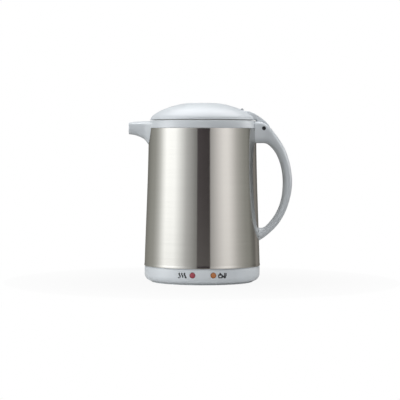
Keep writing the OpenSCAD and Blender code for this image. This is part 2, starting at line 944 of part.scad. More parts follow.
// Side outline of the lid's tongue down to its knuckle
module tongue_outline() {
    difference() {
        union() {
            polygon([[button_x - 10, lid_top(button_x) - 4], [button_x0, lid_top(button_x0) - 0.3],
                [button_x - 0.4, lid_top(button_x) + 0.1], [top_r - 9.5, lid_z0 + 11.4],
                [top_r - 3.3, lid_z0 + 8.8], [top_r + 1.2, lid_z0 + 6.1], [top_r + 7.1, lid_z0 + 2.2],
                [pin_x + 2.5, pin_z + 9], [pin_x + 6.3, pin_z + 5.1], [pin_x + 7.7, pin_z + 2.2],
                [pin_x + pocket_r - move_gap, pin_z - 0.4], [pin_x + 7.6, pin_z - 6], [pin_x, pin_z - 4],
                [pin_x - knuckle_r + 0.6, pin_z + 3], [ring_r0 + 1, lid_z0 + 0.2],
                [lid_r - 4, lid_z0 + 0.2]]);
            translate([pin_x, pin_z])
                circle(r = knuckle_r);
        }
        translate([pin_x, pin_z])
            difference() {
                translate([2, -15])
                    square([15, 14.5]);
                circle(r = pocket_r - move_gap);
            }
    }
}

module lid_cover() {
    color(pale)
        difference() {
            union() {
                rotate_extrude() {
                    dome(0, lid_z0);
                    translate([0, lid_z0])
                        square([lid_r + lid_bead, lid_bead_h]);
                    translate([0, lid_z0])
                        square([lid_r + lid_bead - lid_bead_edge, lid_bead_h + lid_bead_edge]);
                }
                slab(tongue_w)
                    tongue_outline();
            }
            difference() {
                rotate_extrude()
                    dome(lid_wall, lid_z0 - over);
                for (az = lid_screw_az)
                    turn_at(az, lid_boss_at)
                        translate([0, 0, deck_z1])
                            cylinder(r = lid_boss_r, h = far);
            }
            for (az = lid_screw_az)
                turn_at(az, lid_boss_at)
                    translate([0, 0, lid_z0])
                        cylinder(r = screw_r - lid_screw_bite, h = lid_screw_l + over);
            translate([button_x0 - move_gap, -button_w / 2 - move_gap, deck_z1])
                cube([button_x1 - button_x0 + 2 * move_gap, button_w + 2 * move_gap, far]);
            translate([pin_x, 0, pin_z])
                along_y(pin_r + pin_gap, far);
        }
}

module lid_plate() {
    color(pale)
        difference() {
            union() {
                ring(0, deck_r, lid_z0, deck_z1);
                for (side = [-1, 1])
                    translate([rocker_x - post_l / 2, side * (post_gap + post_t / 2) - post_t / 2,
                        lid_z0 + over])
                        cube([post_l, post_t, post_top - lid_z0 - over]);
            }
            ring(seal_r0 - pin_gap, seal_r1 + pin_gap, 0, lid_z0 + seal_groove);
            cylinder(r = stem_r + move_gap, h = far);
            translate([button_x - dip_l / 2, -rocker_w / 2 - dip_edge, dip_z])
                cube([dip_l, rocker_w + 2 * dip_edge, far]);
            translate([rocker_x, 0, rocker_z])
                along_y(rocker_pin_r + pin_gap / 2, far);
            for (az = lid_screw_az)
                turn_at(az, lid_boss_at) {
                    cylinder(r = screw_r, h = far);
                    translate([0, 0, lid_z0 - over])
                        cylinder(r = head_r + fit_gap, h = over + head_h);
                }
        }
}

module lid_screws() {
    color(dark_steel)
        for (az = lid_screw_az)
            turn_at(az, lid_boss_at)
                translate([0, 0, lid_z0])
                    cross_screw(screw_r - lid_screw_bite - pin_gap, lid_screw_l);
}

module upper_seal() {
    color(white_rubber)
        difference() {
            ring(seal_r0, seal_r1, seal_z0, lid_z0 + seal_groove);
            ring(seal_r0 + seal_lip, seal_r1 - seal_lip, 0, seal_z0 + seal_lip_deep);
        }
}

module stopper() {
    color(pale)
        difference() {
            union() {
                ring(stopper_r - stopper_wall, stopper_r, stopper_z0, lid_z0);
                ring(port_d / 2, stopper_rim, stopper_z0, stopper_z1);
            }
            translate([-far, -window_w / 2, stopper_z1 + window_lift])
                cube([far, window_w, lid_z0 - stopper_z1 - window_lift - window_roof]);
        }
}

module stopper_gasket() {
    color(white_rubber)
        rotate_extrude()
            polygon([[gasket_r0, gasket_z0 + gasket_bevel_h], [gasket_r0 + gasket_bevel_r, gasket_z0],
                [gasket_r1 - gasket_bevel_r, gasket_z0], [gasket_r1, gasket_z0 + gasket_bevel_h],
                [gasket_r1, stopper_z1], [stopper_rim + pin_gap, stopper_z1],
                [stopper_rim + pin_gap, stopper_z0], [gasket_r0, stopper_z0]]);
}

module stem_seal() {
    color(white_rubber)
        ring(stem_r + pin_gap, stem_r + stem_seal_w, deck_z1, deck_z1 + stem_seal_t);
}

module rocker_pin() {
    color(dark_steel)
        translate([rocker_x, 0, rocker_z])
            along_y(rocker_pin_r, 2 * (post_gap + post_t));
}

module button_outline() {
    front = lid_top(button_x0);
    polygon([[button_x0, button_z0], [button_x0, front - 0.3], [button_x0 + 0.5, front + button_lip - 0.5],
        [button_x0 + 1.4, front + button_lip - 0.4], [button_x0 + 2.6, front + button_lip - 0.9],
        [button_x0 + 3.9, lid_top(button_x) + 0.3], [button_x + 1, lid_top(button_x) - 0.3],
        [button_x + 3.6, lid_top(button_x) - 0.8], [button_x1, lid_z0 + 11], [button_x1, button_z0]]);
}

module pour_button() {
    color(soft_grey) {
        slab(button_w)
            button_outline();
        translate([button_x0 - button_foot_out, -button_w / 2 - button_wing, button_z0])
            cube([button_foot_l, button_w + 2 * button_wing, button_foot]);
    }
}

module rocker() {
    color(soft_grey)
        difference() {
            union() {
                translate([rocker_x, 0, rocker_z])
                    along_y(rocker_hub, rocker_w);
                translate([0, -rocker_w / 2, nub_z - nub_r])
                    cube([button_x, rocker_w, rocker_t]);
                for (x = [0, button_x])
                    translate([x, 0, nub_z])
                        along_y(nub_r, rocker_w);
            }
            translate([-far, -stem_r - move_gap, 0])
                cube([far + yoke_x, stem_d + 2 * move_gap, far]);
            translate([rocker_x, 0, rocker_z])
                along_y(rocker_pin_r + pin_gap, far);
        }
}

module valve() {
    color(soft_grey) {
        translate([0, 0, disc_z0])
            cylinder(r = disc_r, h = disc_t);
        translate([0, 0, disc_z0])
            cylinder(r = stem_r, h = stem_top + stem_head_h - disc_z0);
        translate([0, 0, stem_top])
            cylinder(r = stem_head_r, h = stem_head_h);
    }
}

module valve_seal() {
    color(white_rubber)
        ring(disc_r - seal_edge - seal_w, disc_r - seal_edge, valve_z0, disc_z0);
}

function spring_point(i) = let (a = 360 * i / spring_rings) [spring_r * cos(a), spring_r * sin(a),
    spring_z0 + spring_pitch * i / spring_rings];

module valve_spring() {
    n = spring_turns * spring_rings;
    color(dark_steel)
        loft([for (i = [0:n]) let (c = spring_point(i), a = 360 * i / spring_rings)
            [for (j = [0:spring_sides - 1]) let (b = -360 * j / spring_sides)
                c + spring_wire / 2 * [cos(a) * cos(b), sin(a) * cos(b), sin(b)]]]);
}

outer_shell();
shoulder_ring();
inner_vessel();
vessel_gasket();
insulation_sleeve();
base_housing();
bottom_cover();
foot_ring();
cover_screws();
clamp_strap();
strap_nuts();
heater_plate();
heater_tube();
thermostat();
thermal_fuse();
lamp_board();
lamps();
boil_lens();
warm_lens();
power_inlet();
inlet_pins();
inlet_magnets();
leads();
handle();
handle_plates();
handle_screws();
hinge_pin();
lid_cover();
lid_plate();
lid_screws();
upper_seal();
stopper();
stopper_gasket();
stem_seal();
rocker_pin();
pour_button();
rocker();
valve();
valve_seal();
valve_spring();
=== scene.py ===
from functools import partial
from math import acos, asin, atan, copysign, cos, dist, exp, pi, radians, sin, tau

import bmesh
import bpy
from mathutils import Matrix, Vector


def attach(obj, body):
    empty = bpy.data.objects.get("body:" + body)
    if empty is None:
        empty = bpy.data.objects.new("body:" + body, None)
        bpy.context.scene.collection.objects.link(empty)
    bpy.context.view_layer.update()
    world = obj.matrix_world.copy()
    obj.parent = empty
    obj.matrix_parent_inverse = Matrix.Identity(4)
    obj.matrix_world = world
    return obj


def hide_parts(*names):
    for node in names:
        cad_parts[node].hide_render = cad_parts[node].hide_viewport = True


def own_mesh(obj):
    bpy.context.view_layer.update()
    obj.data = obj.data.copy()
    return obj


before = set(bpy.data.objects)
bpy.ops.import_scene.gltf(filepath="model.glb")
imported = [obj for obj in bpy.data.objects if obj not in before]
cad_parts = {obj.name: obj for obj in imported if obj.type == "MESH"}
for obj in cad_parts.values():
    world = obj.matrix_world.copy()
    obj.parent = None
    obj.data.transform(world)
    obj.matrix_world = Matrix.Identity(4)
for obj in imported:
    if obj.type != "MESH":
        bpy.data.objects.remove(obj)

bl_info = {
    "name": "Handy Pot Looks",
    "version": (1, 0, 0),
    "blender": (4, 5, 0),
    "location": "3D View > Sidebar > Handy Pot",
    "description": "Dresses the packed handy pot with its steel, mouldings, lamps and studio",
    "category": "Object",
}

MM = 0.001
UP = Vector((0, 0, 1))
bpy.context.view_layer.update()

# Sizes in millimetres. Most repeat the part's source; a few are drawn a little inside it, after the photo
BODY_R, TOP_R, HEM_R = 75.7, 70.5, 76.1
SHELL_Z0, HEM_Z, BODY_TOP = 21.2, 25.2, 201.0
SHELL_T, FLANGE, WALL_WAIST, LIP_EDGE = 0.8, 3.4, 0.6, 0.5
HEM_INNER_R, HEM_ROLL, FLARE_Z = 72.8, 0.6, 22.2
RING_R0, RING_R1, RING_Z0, RING_Z1 = 71.4, 69.2, 190.5, 211.0
RING_FOOT, RING_EDGE, MOUTH_EDGE = 0.4, 0.9, 0.8
SKIRT_R, MOUTH_R, LEDGE_R, LEDGE_Z = 66.7, 59.5, 53.0, 193.5
LID_Z0, LID_R, LID_H, LID_RIM, LID_WALL, CROWN_R = 212.0, 67.9, 20.2, 1.6, 2.3, 20.03
LID_BEAD, BEAD_H, BEAD_EDGE, DECK_Z1 = 0.7, 1.2, 0.3, 214.5
PIN_X, PIN_Z, PIN_R, PIN_REACH = 79.8, 201.2, 2.0, 40
PIN_TURN_GAP, PIN_HOLD_GAP, PIN_SINK, PIN_SINK_DEEP = 0.05, 0.025, 0.65, 1.8
PIN_HEAD, PIN_HEAD_T, PIN_CROWN, PIN_SUNK = 0.45, 0.75, 0.5, 1
FORK_W, FORK_SLOT, POCKET_R, TONGUE_W, KNUCKLE_R = 39.0, 26.2, 10.2, 25.0, 7.5
BUTTON_X0, BUTTON_X, BUTTON_X1, BUTTON_W, BUTTON_Z0 = 50.4, 55.0, 61.6, 21.0, 220.3
SPRING_R, SPRING_WIRE, SPRING_TURNS, SPRING_Z0, SPRING_Z1, VALVE_LIFT = 5.4, 0.9, 3.5, 203.8, 211.9, 3.12
MOVE_GAP, FIT_GAP, TOUCH_GAP = 0.4, 0.2, 0.08
BASE_R, BASE_Z0, BASE_Z1, BASE_WALL = 75.6, 1.2, 20.3, 2.5
BASE_EDGE, BASE_TOP_EDGE, BASE_STEP_R, BASE_BEND = 9.4, 0.8, 74.4, 5.5
SPIGOT_R0, SPIGOT_R1, SPIGOT_Z0, SPIGOT_Z1 = 69.5, 72.5, 17.8, 25.8
FOOT_R0, FOOT_R1, FOOT_Z = 60.2, 66.8, 3.0
FLOOR_Z, FLOOR_R, COVER_R, COVER_LIP_R, COVER_Z0, COVER_Z1 = 5.2, 58.2, 54, 60, 4.1, 6.6
INLET_W, INLET_Y, INLET_Z1, INLET_EDGE, INLET_TURN = 34.4, 60.1, 17.0, 4.6, 36
LAMP_Z, LAMP_D, LAMP_PITCH, LAMP_GAP = 13.2, 7.4, 26.7, 0.15
LAMP_AZ = asin(LAMP_PITCH / 2 / BASE_R)
LENS_BACK, LENS_FLANGE, LENS_FLANGE_T, LENS_SUNK, LENS_DOME = 72.3, 0.7, 1.1, 0.15, 0.5
BOIL_MARK_AT, WARM_MARK_AT, INK_UNDER, INK_OVER = -25.2, 25.6, 0.1, 0.06
BORE_Z, BORE_D, BORE_WALL = 201.4, 10.5, 1.2
PLUG_W, PLUG_Z0 = BORE_D + 2 * BORE_WALL, BORE_Z - BORE_D / 2 - BORE_WALL
# Cutters end well inside the wall, beside the pot or over it
INSIDE, BESIDE, OVER, CUTTER_TURNS = 40, 120, 300, 256

# Spout keys: share of the reach, crown, arch of the top, underside, half width, roundness below
SPOUT_REACH, SPOUT_LEAN = 26.2, 0.25
SPOUT_KEYS = [
    (-0.6, 9.4, 3.7, -24.4, 30, 0.3), (-0.19, 9.4, 3.7, -24, 24.4, 0.3), (0, 9.3, 3.6, -21.8, 21.1, 0.33),
    (0.12, 9.2, 3.5, -17.6, 19, 0.38), (0.24, 9.1, 3.4, -14.3, 17.2, 0.44), (0.43, 8.9, 3.2, -11.5, 15.2, 0.52),
    (0.68, 8.4, 2.7, -9.2, 12.6, 0.58), (0.9, 7.8, 2.2, -8.2, 10.6, 0.62), (0.97, 7.4, 1.9, -7.9, 10, 0.62),
    (1, 6.8, 1.5, -7.3, 9.2, 0.62),
]
# Handle keys: outer and inner edge as reach and drop, half width as a share, squareness
GRIP_W, GRIP_SHARE = 25.0, 0.64
HANDLE_KEYS = [
    (-8, 9.2, -8, -19.2, 1.05, 5.5), (0, 9.2, 0, -19.2, 1.05, 5.5), (5.5, 9.2, 5.5, -19.2, 1.05, 5.5),
    (12.5, 6.3, 10, -19.2, 1.03, 4.6), (17.8, 2, 14.5, -20.2, 0.99, 3.7), (23.4, -5, 19, -23.6, 0.94, 3),
    (30.4, -14.2, 23.4, -28.6, 0.84, 2.5), (37.9, -26.9, 28.1, -36.5, 0.74, 2.25),
    (43.8, -43.4, 32.1, -47.4, 0.67, 2.15), (46.9, -60, 34.6, -60.2, 0.64, 2.1),
    (47.5, -74, 35.2, -74, 0.64, 2.1), (45.6, -88, 34.1, -88, 0.63, 2.1),
    (41.6, -102.5, 30.8, -101, 0.62, 2), (35.8, -115.6, 25.7, -112, 0.6, 1.9),
    (27, -128.6, 18.9, -121.8, 0.58, 1.8), (15, -140, 10.8, -129.6, 0.57, 1.75),
    (4.3, -147.4, 3.5, -130.6, 0.57, 1.75), (-5, -152, -5, -130.6, 0.57, 1.75),
]


DISTANCE = {"subtype": "DISTANCE", "unit": "LENGTH"}
ANGLE = {"subtype": "ANGLE", "unit": "ROTATION"}
POWER = {"min": 0, "unit": "POWER"}


def linear(code):
    """An sRGB hex value as a linear colour with full opacity."""
    parts = [int(code[i:i + 2], 16) / 255 for i in (1, 3, 5)]
    return tuple(c / 12.92 if c <= 0.04045 else ((c + 0.055) / 1.055) ** 2.4 for c in parts) + (1.0,)


def number(label, description, default, **kind):
    """A number property of one kind."""
    return bpy.props.FloatProperty(name=label, description=description, default=default, **kind)


def length(label, description, value, low, high):
    """A length property given in millimetres."""
    return number(label, description, value * MM, min=low * MM, max=high * MM, precision=5, **DISTANCE)


def colour(label, description, code):
    """A colour property that starts from an sRGB hex value."""
    return bpy.props.FloatVectorProperty(
        name=label, description=description, size=4, min=0, max=1, subtype="COLOR", default=linear(code))


class PotSizes(bpy.types.PropertyGroup):
    """Sizes of the detail that the looks add to the solids."""

    turns: bpy.props.IntProperty(
        name="Turns", description="Facets round each turned piece", default=224, min=48, max=512)
    edge: length("Edge softness", "Radius that the moulded edges show", 0.6, 0, 3)
    spout_edge: length("Spout edge", "Rounding of the spout's upper edges", 0.8, 0, 4)
    tongue_edge: length("Tongue edge", "Rounding of the lid tongue's sides", 1.6, 0, 3)
    mark_height: length("Mark height", "Height of a printed mark beside a lamp", 6.0, 2, 9)
    mark_stroke: length("Mark stroke", "Width of a printed stroke", 1.8, 0.2, 2)
    brush_spacing: length("Brush spacing", "Distance between brush lines on the steel", 0.8, 0.1, 5)
    grain: length("Moulded grain", "Size of the grain on the mouldings", 0.7, 0.1, 5)


class PotColours(bpy.types.PropertyGroup):
    """Colours of the finishes."""

    steel: colour("Steel", "Reflection of the brushed steel", "#D1D1CF")
    shell: colour("Moulding", "Pale outer mouldings", "#D4DADF")
    inner: colour("Inner moulding", "Mouldings inside the mouth", "#D9DBDA")
    button: colour("Button", "Pour button and its linkage", "#A2A6AB")
    boil: colour("Boil lens", "Lens of the boil lamp", "#B24959")
    warm: colour("Keep-warm lens", "Lens of the keep-warm lamp", "#CB7D42")
    ink: colour("Ink", "Marks printed beside the lamps", "#22252A")


class PotStage(bpy.types.PropertyGroup):
    """Studio light and camera."""

    top_power: number("Top light", "Power of the soft light overhead", 18.0, **POWER)
    left_power: number("Left light", "Power of the soft light at the spout's side", 9.9, **POWER)
    right_power: number("Right light", "Power of the soft light at the handle's side", 6.4, **POWER)
    front_power: number("Front light", "Power of the soft light beside the camera", 9.2, **POWER)
    fill: number("Fill", "Strength of the even light from all round", 0.14, min=0)
    camera_away: number("Camera distance", "From the body's axis", 2.12, **DISTANCE)
    camera_height: number("Camera height", "Over the floor", 0.176, **DISTANCE)
    camera_lens: number("Focal length", "On a 36 mm sensor", 145.1, unit="CAMERA")
    camera_roll: number("Camera roll", "Lean of the camera to its left", radians(0.15), **ANGLE)
    camera_side: number("Camera turn", "Angle round the pot towards the spout", radians(0.8), **ANGLE)


# Shaping

def new_piece(name, points, faces):
    """An object from points in millimetres, closed up and with its faces outwards."""
    mesh = bpy.data.meshes.new(name)
    mesh.from_pydata([Vector(p) * MM for p in points], [], faces)
    work = bmesh.new()
    work.from_mesh(mesh)
    bmesh.ops.remove_doubles(work, verts=work.verts, dist=0.002 * MM)
    bmesh.ops.delete(work, geom=[e for e in work.edges if e.is_wire], context="EDGES")
    bmesh.ops.recalc_face_normals(work, faces=work.faces)
    work.to_mesh(mesh)
    work.free()
    piece = bpy.data.objects.new(name, mesh)
    bpy.context.scene.collection.objects.link(piece)
    return piece


def turned(name, outline, turns):
    """A closed outline of radius and height turned about the body's axis; a function gives one for each angle."""
    angles = [tau * i / turns for i in range(turns)]
    rings = [outline(a) if callable(outline) else outline for a in angles]
    count = len(rings[0])
    points = [(r * cos(a), r * sin(a), z) for a, ring in zip(angles, rings) for r, z in ring]
    faces = [(i * count + j, (i + 1) % turns * count + j, (i + 1) % turns * count + (j + 1) % count,
              i * count + (j + 1) % count) for i in range(turns) for j in range(count)]
    return new_piece(name, points, faces)


def lofted(name, rings):
    """Closed rings of equal count joined into a skin, with both ends filled."""
    count = len(rings[0])
    points = [p for ring in rings for p in ring]
    faces = [(i * count + j, i * count + (j + 1) % count, (i + 1) * count + (j + 1) % count, (i + 1) * count + j)
             for i in range(len(rings) - 1) for j in range(count)]
    last = (len(rings) - 1) * count
    return new_piece(name, points, faces + [tuple(range(count)), tuple(range(last, last + count))])


def extruded(name, outline, width, edge, steps=5):
    """A closed X-Z outline given a width along Y, with its two sides rolled over by edge."""
    rings = []
    for i in range(2 * steps + 2):
        k = min(i, 2 * steps + 1 - i) / steps
        inset = edge * (1 - sin(k * pi / 2))
        y = width / 2 - edge + edge * cos(k * pi / 2)
        rings.append([(x, -y if i <= steps else y, z) for x, z in shrunk(outline, inset)])
    return lofted(name, rings)


def shrunk(outline, inset):
    """A closed X-Z outline drawn in by inset; points that would cross at a corner gather at one."""
    count = len(outline)
    area = sum(outline[i - 1][0] * outline[i][1] - outline[i][0] * outline[i - 1][1] for i in range(count))
    side = 1 if area > 0 else -1
    moved = []
    for i in range(count):
        a, b = outline[i - 1], outline[(i + 1) % count]
        long = dist(a, b) or 1
        moved.append((outline[i][0] - side * inset * (b[1] - a[1]) / long,
                      outline[i][1] + side * inset * (b[0] - a[0]) / long))
    kept = [p for p in moved if min(dist(p, q) for q in outline) > 0.97 * inset] if inset else moved
    return [p if p in kept else min(kept, key=lambda q: dist(p, q)) for p in moved]


def evened(points, count):
    """A closed outline respaced evenly along its length."""
    points = [Vector(p) for p in points]
    ends = points + points[:1]
    lengths = [0.0]
    for a, b in zip(ends, ends[1:]):
        lengths.append(lengths[-1] + (b - a).length)
    found, at = [], 0
    for i in range(count):
        want = lengths[-1] * i / count
        while lengths[at + 1] < want:
            at += 1
        share = (want - lengths[at]) / max(lengths[at + 1] - lengths[at], 1e-9)
        found.append(ends[at].lerp(ends[at + 1], share))
    return found


def eased(points, count, reach):
    """A closed outline respaced and averaged over reach along its length, which rounds its corners."""
    even = evened(points, count)
    length = sum((even[i] - even[i - 1]).length for i in range(count))
    spread = max(reach * count / length, 1e-6)
    window = range(-int(3 * spread) - 1, int(3 * spread) + 2)
    weights = [exp(-0.5 * (k / spread) ** 2) for k in window]
    total = sum(weights)
    return [sum((even[(i + k) % count] * w for k, w in zip(window, weights)), Vector([0] * len(even[0]))) / total
            for i in range(count)]


def through(keys, steps):
    """Keys with smooth ones put in between, steps to each gap."""
    found = []
    last = len(keys) - 1
    for i in range(last):
        a, b, c, d = keys[max(i - 1, 0)], keys[i], keys[i + 1], keys[min(i + 2, last)]
        for k in range(steps):
            t = k / steps
            found.append([0.5 * (2 * q + (r - p) * t + (2 * p - 5 * q + 4 * r - s) * t * t
                                 + (3 * q - p - 3 * r + s) * t ** 3) for p, q, r, s in zip(a, b, c, d)])
    return found + [list(keys[-1])]


def block(name, x0, y0, z0, x1, y1, z1):
    """A square block between two corners, to cut with or to join on."""
    points = [(x, y, z) for x in (x0, x1) for y in (y0, y1) for z in (z0, z1)]
    faces = [(0, 1, 3, 2), (4, 6, 7, 5), (0, 4, 5, 1), (2, 3, 7, 6), (0, 2, 6, 4), (1, 5, 7, 3)]
    return new_piece(name, points, faces)


def rod(name, start, end, radius, sides=48):
    """A round cutter between two points on a level."""
    start, end = Vector(start), Vector(end)
    across = (end - start).cross(UP).normalized()
    angles = [tau * i / sides for i in range(sides)]
    return lofted(name, [[p + radius * (across * cos(a) + UP * sin(a)) for a in angles]
                         for p in (start, end)])


def arc(x, z, r, start, end, steps):
    """Points on a circle between two angles in degrees."""
    return [(x + r * cos(radians(start + (end - start) * i / steps)),
             z + r * sin(radians(start + (end - start) * i / steps))) for i in range(steps + 1)]


def bake(piece):
    """Puts a piece's modifiers into its mesh."""
    shown = piece.evaluated_get(bpy.context.evaluated_depsgraph_get())
    mesh = bpy.data.meshes.new_from_object(shown)
    piece.modifiers.clear()
    old, piece.data = piece.data, mesh
    bpy.data.meshes.remove(old)


def worked(piece, tool, operation="DIFFERENCE"):
    """Cuts a tool out of a piece or joins it on, and drops the tool."""
    change = piece.modifiers.new(operation.title(), "BOOLEAN")
    change.object = tool
    change.operation = operation
    change.solver = "EXACT"
    bake(piece)
    bpy.data.objects.remove(tool)
    if not piece.data.polygons:
        raise RuntimeError(f"nothing was left of {piece.name}")


def dressed(piece, body, slot, nodes=(), crease=40, look=None):
    """Gives a piece the finish of its slot or another look, smooth shading, body and the nodes it stands for."""
    piece.data.materials.clear()
    piece.data.materials.append(finish(look or slot))
    piece.data.shade_smooth()
    piece.data.set_sharp_from_angle(angle=radians(crease))
    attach(piece, body)
    if nodes:
        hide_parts(*nodes)
    return piece


def dome_h(r, r0, r1, h):
    """Height of the lid's dome over its rim at a radius."""
    return h if r <= r0 else h * max(0.0, 1 - ((r - r0) / (r1 - r0)) ** 1.4) ** 0.65


def dome_line(r1, h, steps):
    """Points over the lid's dome from its rim to its crown."""
    radii = [CROWN_R + (r1 - CROWN_R) * cos(radians(90 * i / steps)) for i in range(steps + 1)]
    return [(r, LID_Z0 + LID_RIM + dome_h(r, CROWN_R, r1, h)) for r in radii]


def lid_top(r):
    """Height of the lid's outer skin over the floor at a radius."""
    return LID_Z0 + LID_RIM + dome_h(r, CROWN_R, LID_R, LID_H)


def signed_power(v, p):
    """A power that keeps the sign of its base, for squarish rings."""
    return copysign(abs(v) ** p, v)


# Finishes

def add_node(tree, kind, inputs=None, **settings):
    """Adds a node with its settings, and sets its inputs or links them to a socket or a node's first output."""
    made = tree.nodes.new(kind)
    for name, value in settings.items():
        setattr(made, name, value)
    for key, value in (inputs or {}).items():
        if isinstance(value, bpy.types.Node):
            value = value.outputs[0]
        if isinstance(value, bpy.types.NodeSocket):
            tree.links.new(value, made.inputs[key])
        else:
            made.inputs[key].default_value = value
    return made


def emptied(owner):
    """The node tree of a new material or world, with nothing in it."""
    owner.use_nodes = True
    owner.node_tree.nodes.clear()
    return owner.node_tree


def started(name):
    """A new material, the way to add its nodes, and the object's own coordinates for patterns."""
    material = bpy.data.materials.new(name)
    add = partial(add_node, emptied(material))
    return material, add, add("ShaderNodeTexCoord").outputs["Object"]


def patterned(add, place, size, detail, roughness, *levels):
    """A noise pattern of one size, and the same pattern spread between each pair of levels."""
    pattern = add("ShaderNodeTexNoise", {
        "Vector": place, "Scale": 1 / size, "Detail": detail, "Roughness": roughness}, noise_dimensions="3D")
    # Noise seldom leaves the middle part of its range
    return [pattern] + [add("ShaderNodeMapRange", {
        "Value": pattern, "From Min": 0.3, "From Max": 0.7, "To Min": low, "To Max": high}) for low, high in levels]


def closed(material, tint, tone, inputs):
    """Ends a finish with its main shader, coloured by the tint times the tone of its pattern."""
    add = partial(add_node, material.node_tree)
    tinted = add("ShaderNodeVectorMath", {0: tint[:3], "Scale": tone}, operation="SCALE")
    shader = add("ShaderNodeBsdfPrincipled", {"Base Color": tinted, **inputs})
    add("ShaderNodeOutputMaterial", {"Surface": shader})
    material.diffuse_color = tint
    return material


def brushed_stainless(name, tint, spacing):
    """Stainless sheet ground round the body on a belt: mirror-sharp round the pot, smeared up and down it,
    with fine level lines that differ a little in brightness."""
    material, add, place = started(name)
    parts = add("ShaderNodeSeparateXYZ", {0: place})
    around = add("ShaderNodeMath", {0: parts.outputs["Y"], 1: parts.outputs["X"]}, operation="ARCTAN2")
    # Belt scratches are about 0.1 mm apart; they are drawn at the brush spacing so that they show
    level = add("ShaderNodeMath", {0: parts.outputs["Z"], 1: spacing}, operation="DIVIDE")
    # A line runs on for more than a radian before it changes
    sweep = add("ShaderNodeMath", {0: around, 1: 0.7}, operation="MULTIPLY")
    spot = add("ShaderNodeCombineXYZ", {"X": sweep, "Z": level})
    tone, rough = patterned(add, spot.outputs[0], 1.0, 3.0, 0.6, (0.965, 1.025), (0.14, 0.155))[1:]
    along = add("ShaderNodeTangent", direction_type="RADIAL", axis="Z")
    return closed(material, tint, tone, {
        "Metallic": 1.0, "Anisotropic": 1.0, "Anisotropic Rotation": 0.25, "Roughness": rough, "Tangent": along})


def moulded(name, tint, roughness, grain, edge):
    """ABS shot into a finely blasted tool: a satin skin with a faint grain, edges that catch the light,
    and a slight polish where hands and cloths rub those edges."""
    paler, smoother, uneven = 0.05, 0.08, 0.04
    material, add, place = started(name)
    # Blasting leaves grains of about 0.1 mm; they are drawn coarser so that they show
    grains, satin = patterned(add, place, grain, 2.0, 0.5, (roughness - uneven, roughness + uneven))
    # Slow drift in tone over about 40 mm, as cooling leaves in a large moulding
    tone = patterned(add, place, 40 * MM, 1.0, 0.5, (0.975, 1.015))[1]
    soft = add("ShaderNodeBevel", {"Radius": edge}, samples=6)
    flat = add("ShaderNodeNewGeometry")
    turn = add("ShaderNodeVectorMath", {0: soft, 1: flat.outputs["Normal"]}, operation="DOT_PRODUCT")
    rubbed = add("ShaderNodeMapRange", {
        "Value": turn.outputs["Value"], "From Min": 0.995, "From Max": 0.85, "To Min": 0.0, "To Max": 1.0})
    worn = add("ShaderNodeMath", {0: rubbed, 1: paler, 2: tone}, operation="MULTIPLY_ADD")
    polished = add("ShaderNodeMath", {0: rubbed, 1: -smoother, 2: satin}, operation="MULTIPLY_ADD")
    relief = add("ShaderNodeBump", {"Strength": 0.04, "Distance": 0.05 * MM, "Height": grains, "Normal": soft})
    return closed(material, tint, worn, {"IOR": 1.53, "Roughness": polished, "Normal": relief})


def tinted_lens(name, tint, side):
    """Polycarbonate dyed in the mass and polished: a clear deep colour with painted shade that darkens it towards
    the rim, over prisms moulded into its back."""
    material, add, place = started(name)
    middle = (lamp_out(side) * BASE_R + UP * LAMP_Z) * MM
    away = add("ShaderNodeVectorMath", {0: place, 1: middle}, operation="DISTANCE")
    # Painted shade: the colour falls to half towards the lens's rim, where its bore would shade it
    rim = add("ShaderNodeMapRange", {
        "Value": away.outputs["Value"], "From Min": 2.1 * MM, "From Max": 3.6 * MM, "To Min": 1.0, "To Max": 0.5},
        interpolation_type="SMOOTHSTEP")
    # Prisms of about 0.9 mm
    prisms = add("ShaderNodeTexVoronoi", {"Vector": place, "Scale": 1 / (0.9 * MM)}, feature="DISTANCE_TO_EDGE")
    tone = add("ShaderNodeMapRange", {
        "Value": prisms.outputs["Distance"], "From Min": 0.0, "From Max": 0.4, "To Min": 0.85, "To Max": 1.08})
    # Prism tone times the painted shade at the rim
    deep = add("ShaderNodeMath", {0: tone, 1: rim}, operation="MULTIPLY")
    return closed(material, tint, deep, {"IOR": 1.585, "Roughness": 0.22, "Coat Weight": 0.3, "Coat Roughness": 0.1})


def plain_noise(name, tint, low, high, size, roughness, metallic=0.0, bump=0.0, stretch=(1, 1, 1), **values):
    """A finish whose tone and roughness drift between two levels at one size of pattern in millimetres."""
    uneven = 0.06
    material, add, place = started(name)
    scaled = add("ShaderNodeVectorMath", {0: place, 1: stretch}, operation="MULTIPLY")
    pattern, tone, rough = patterned(
        add, scaled.outputs[0], size * MM, 4.0, 0.55, (low, high), (roughness - uneven, roughness + uneven))
    if bump:
        values["Normal"] = add("ShaderNodeBump", {"Strength": bump, "Distance": 0.1 * MM, "Height": pattern})
    return closed(material, tint, tone, {"Metallic": metallic, "Roughness": rough, **values})


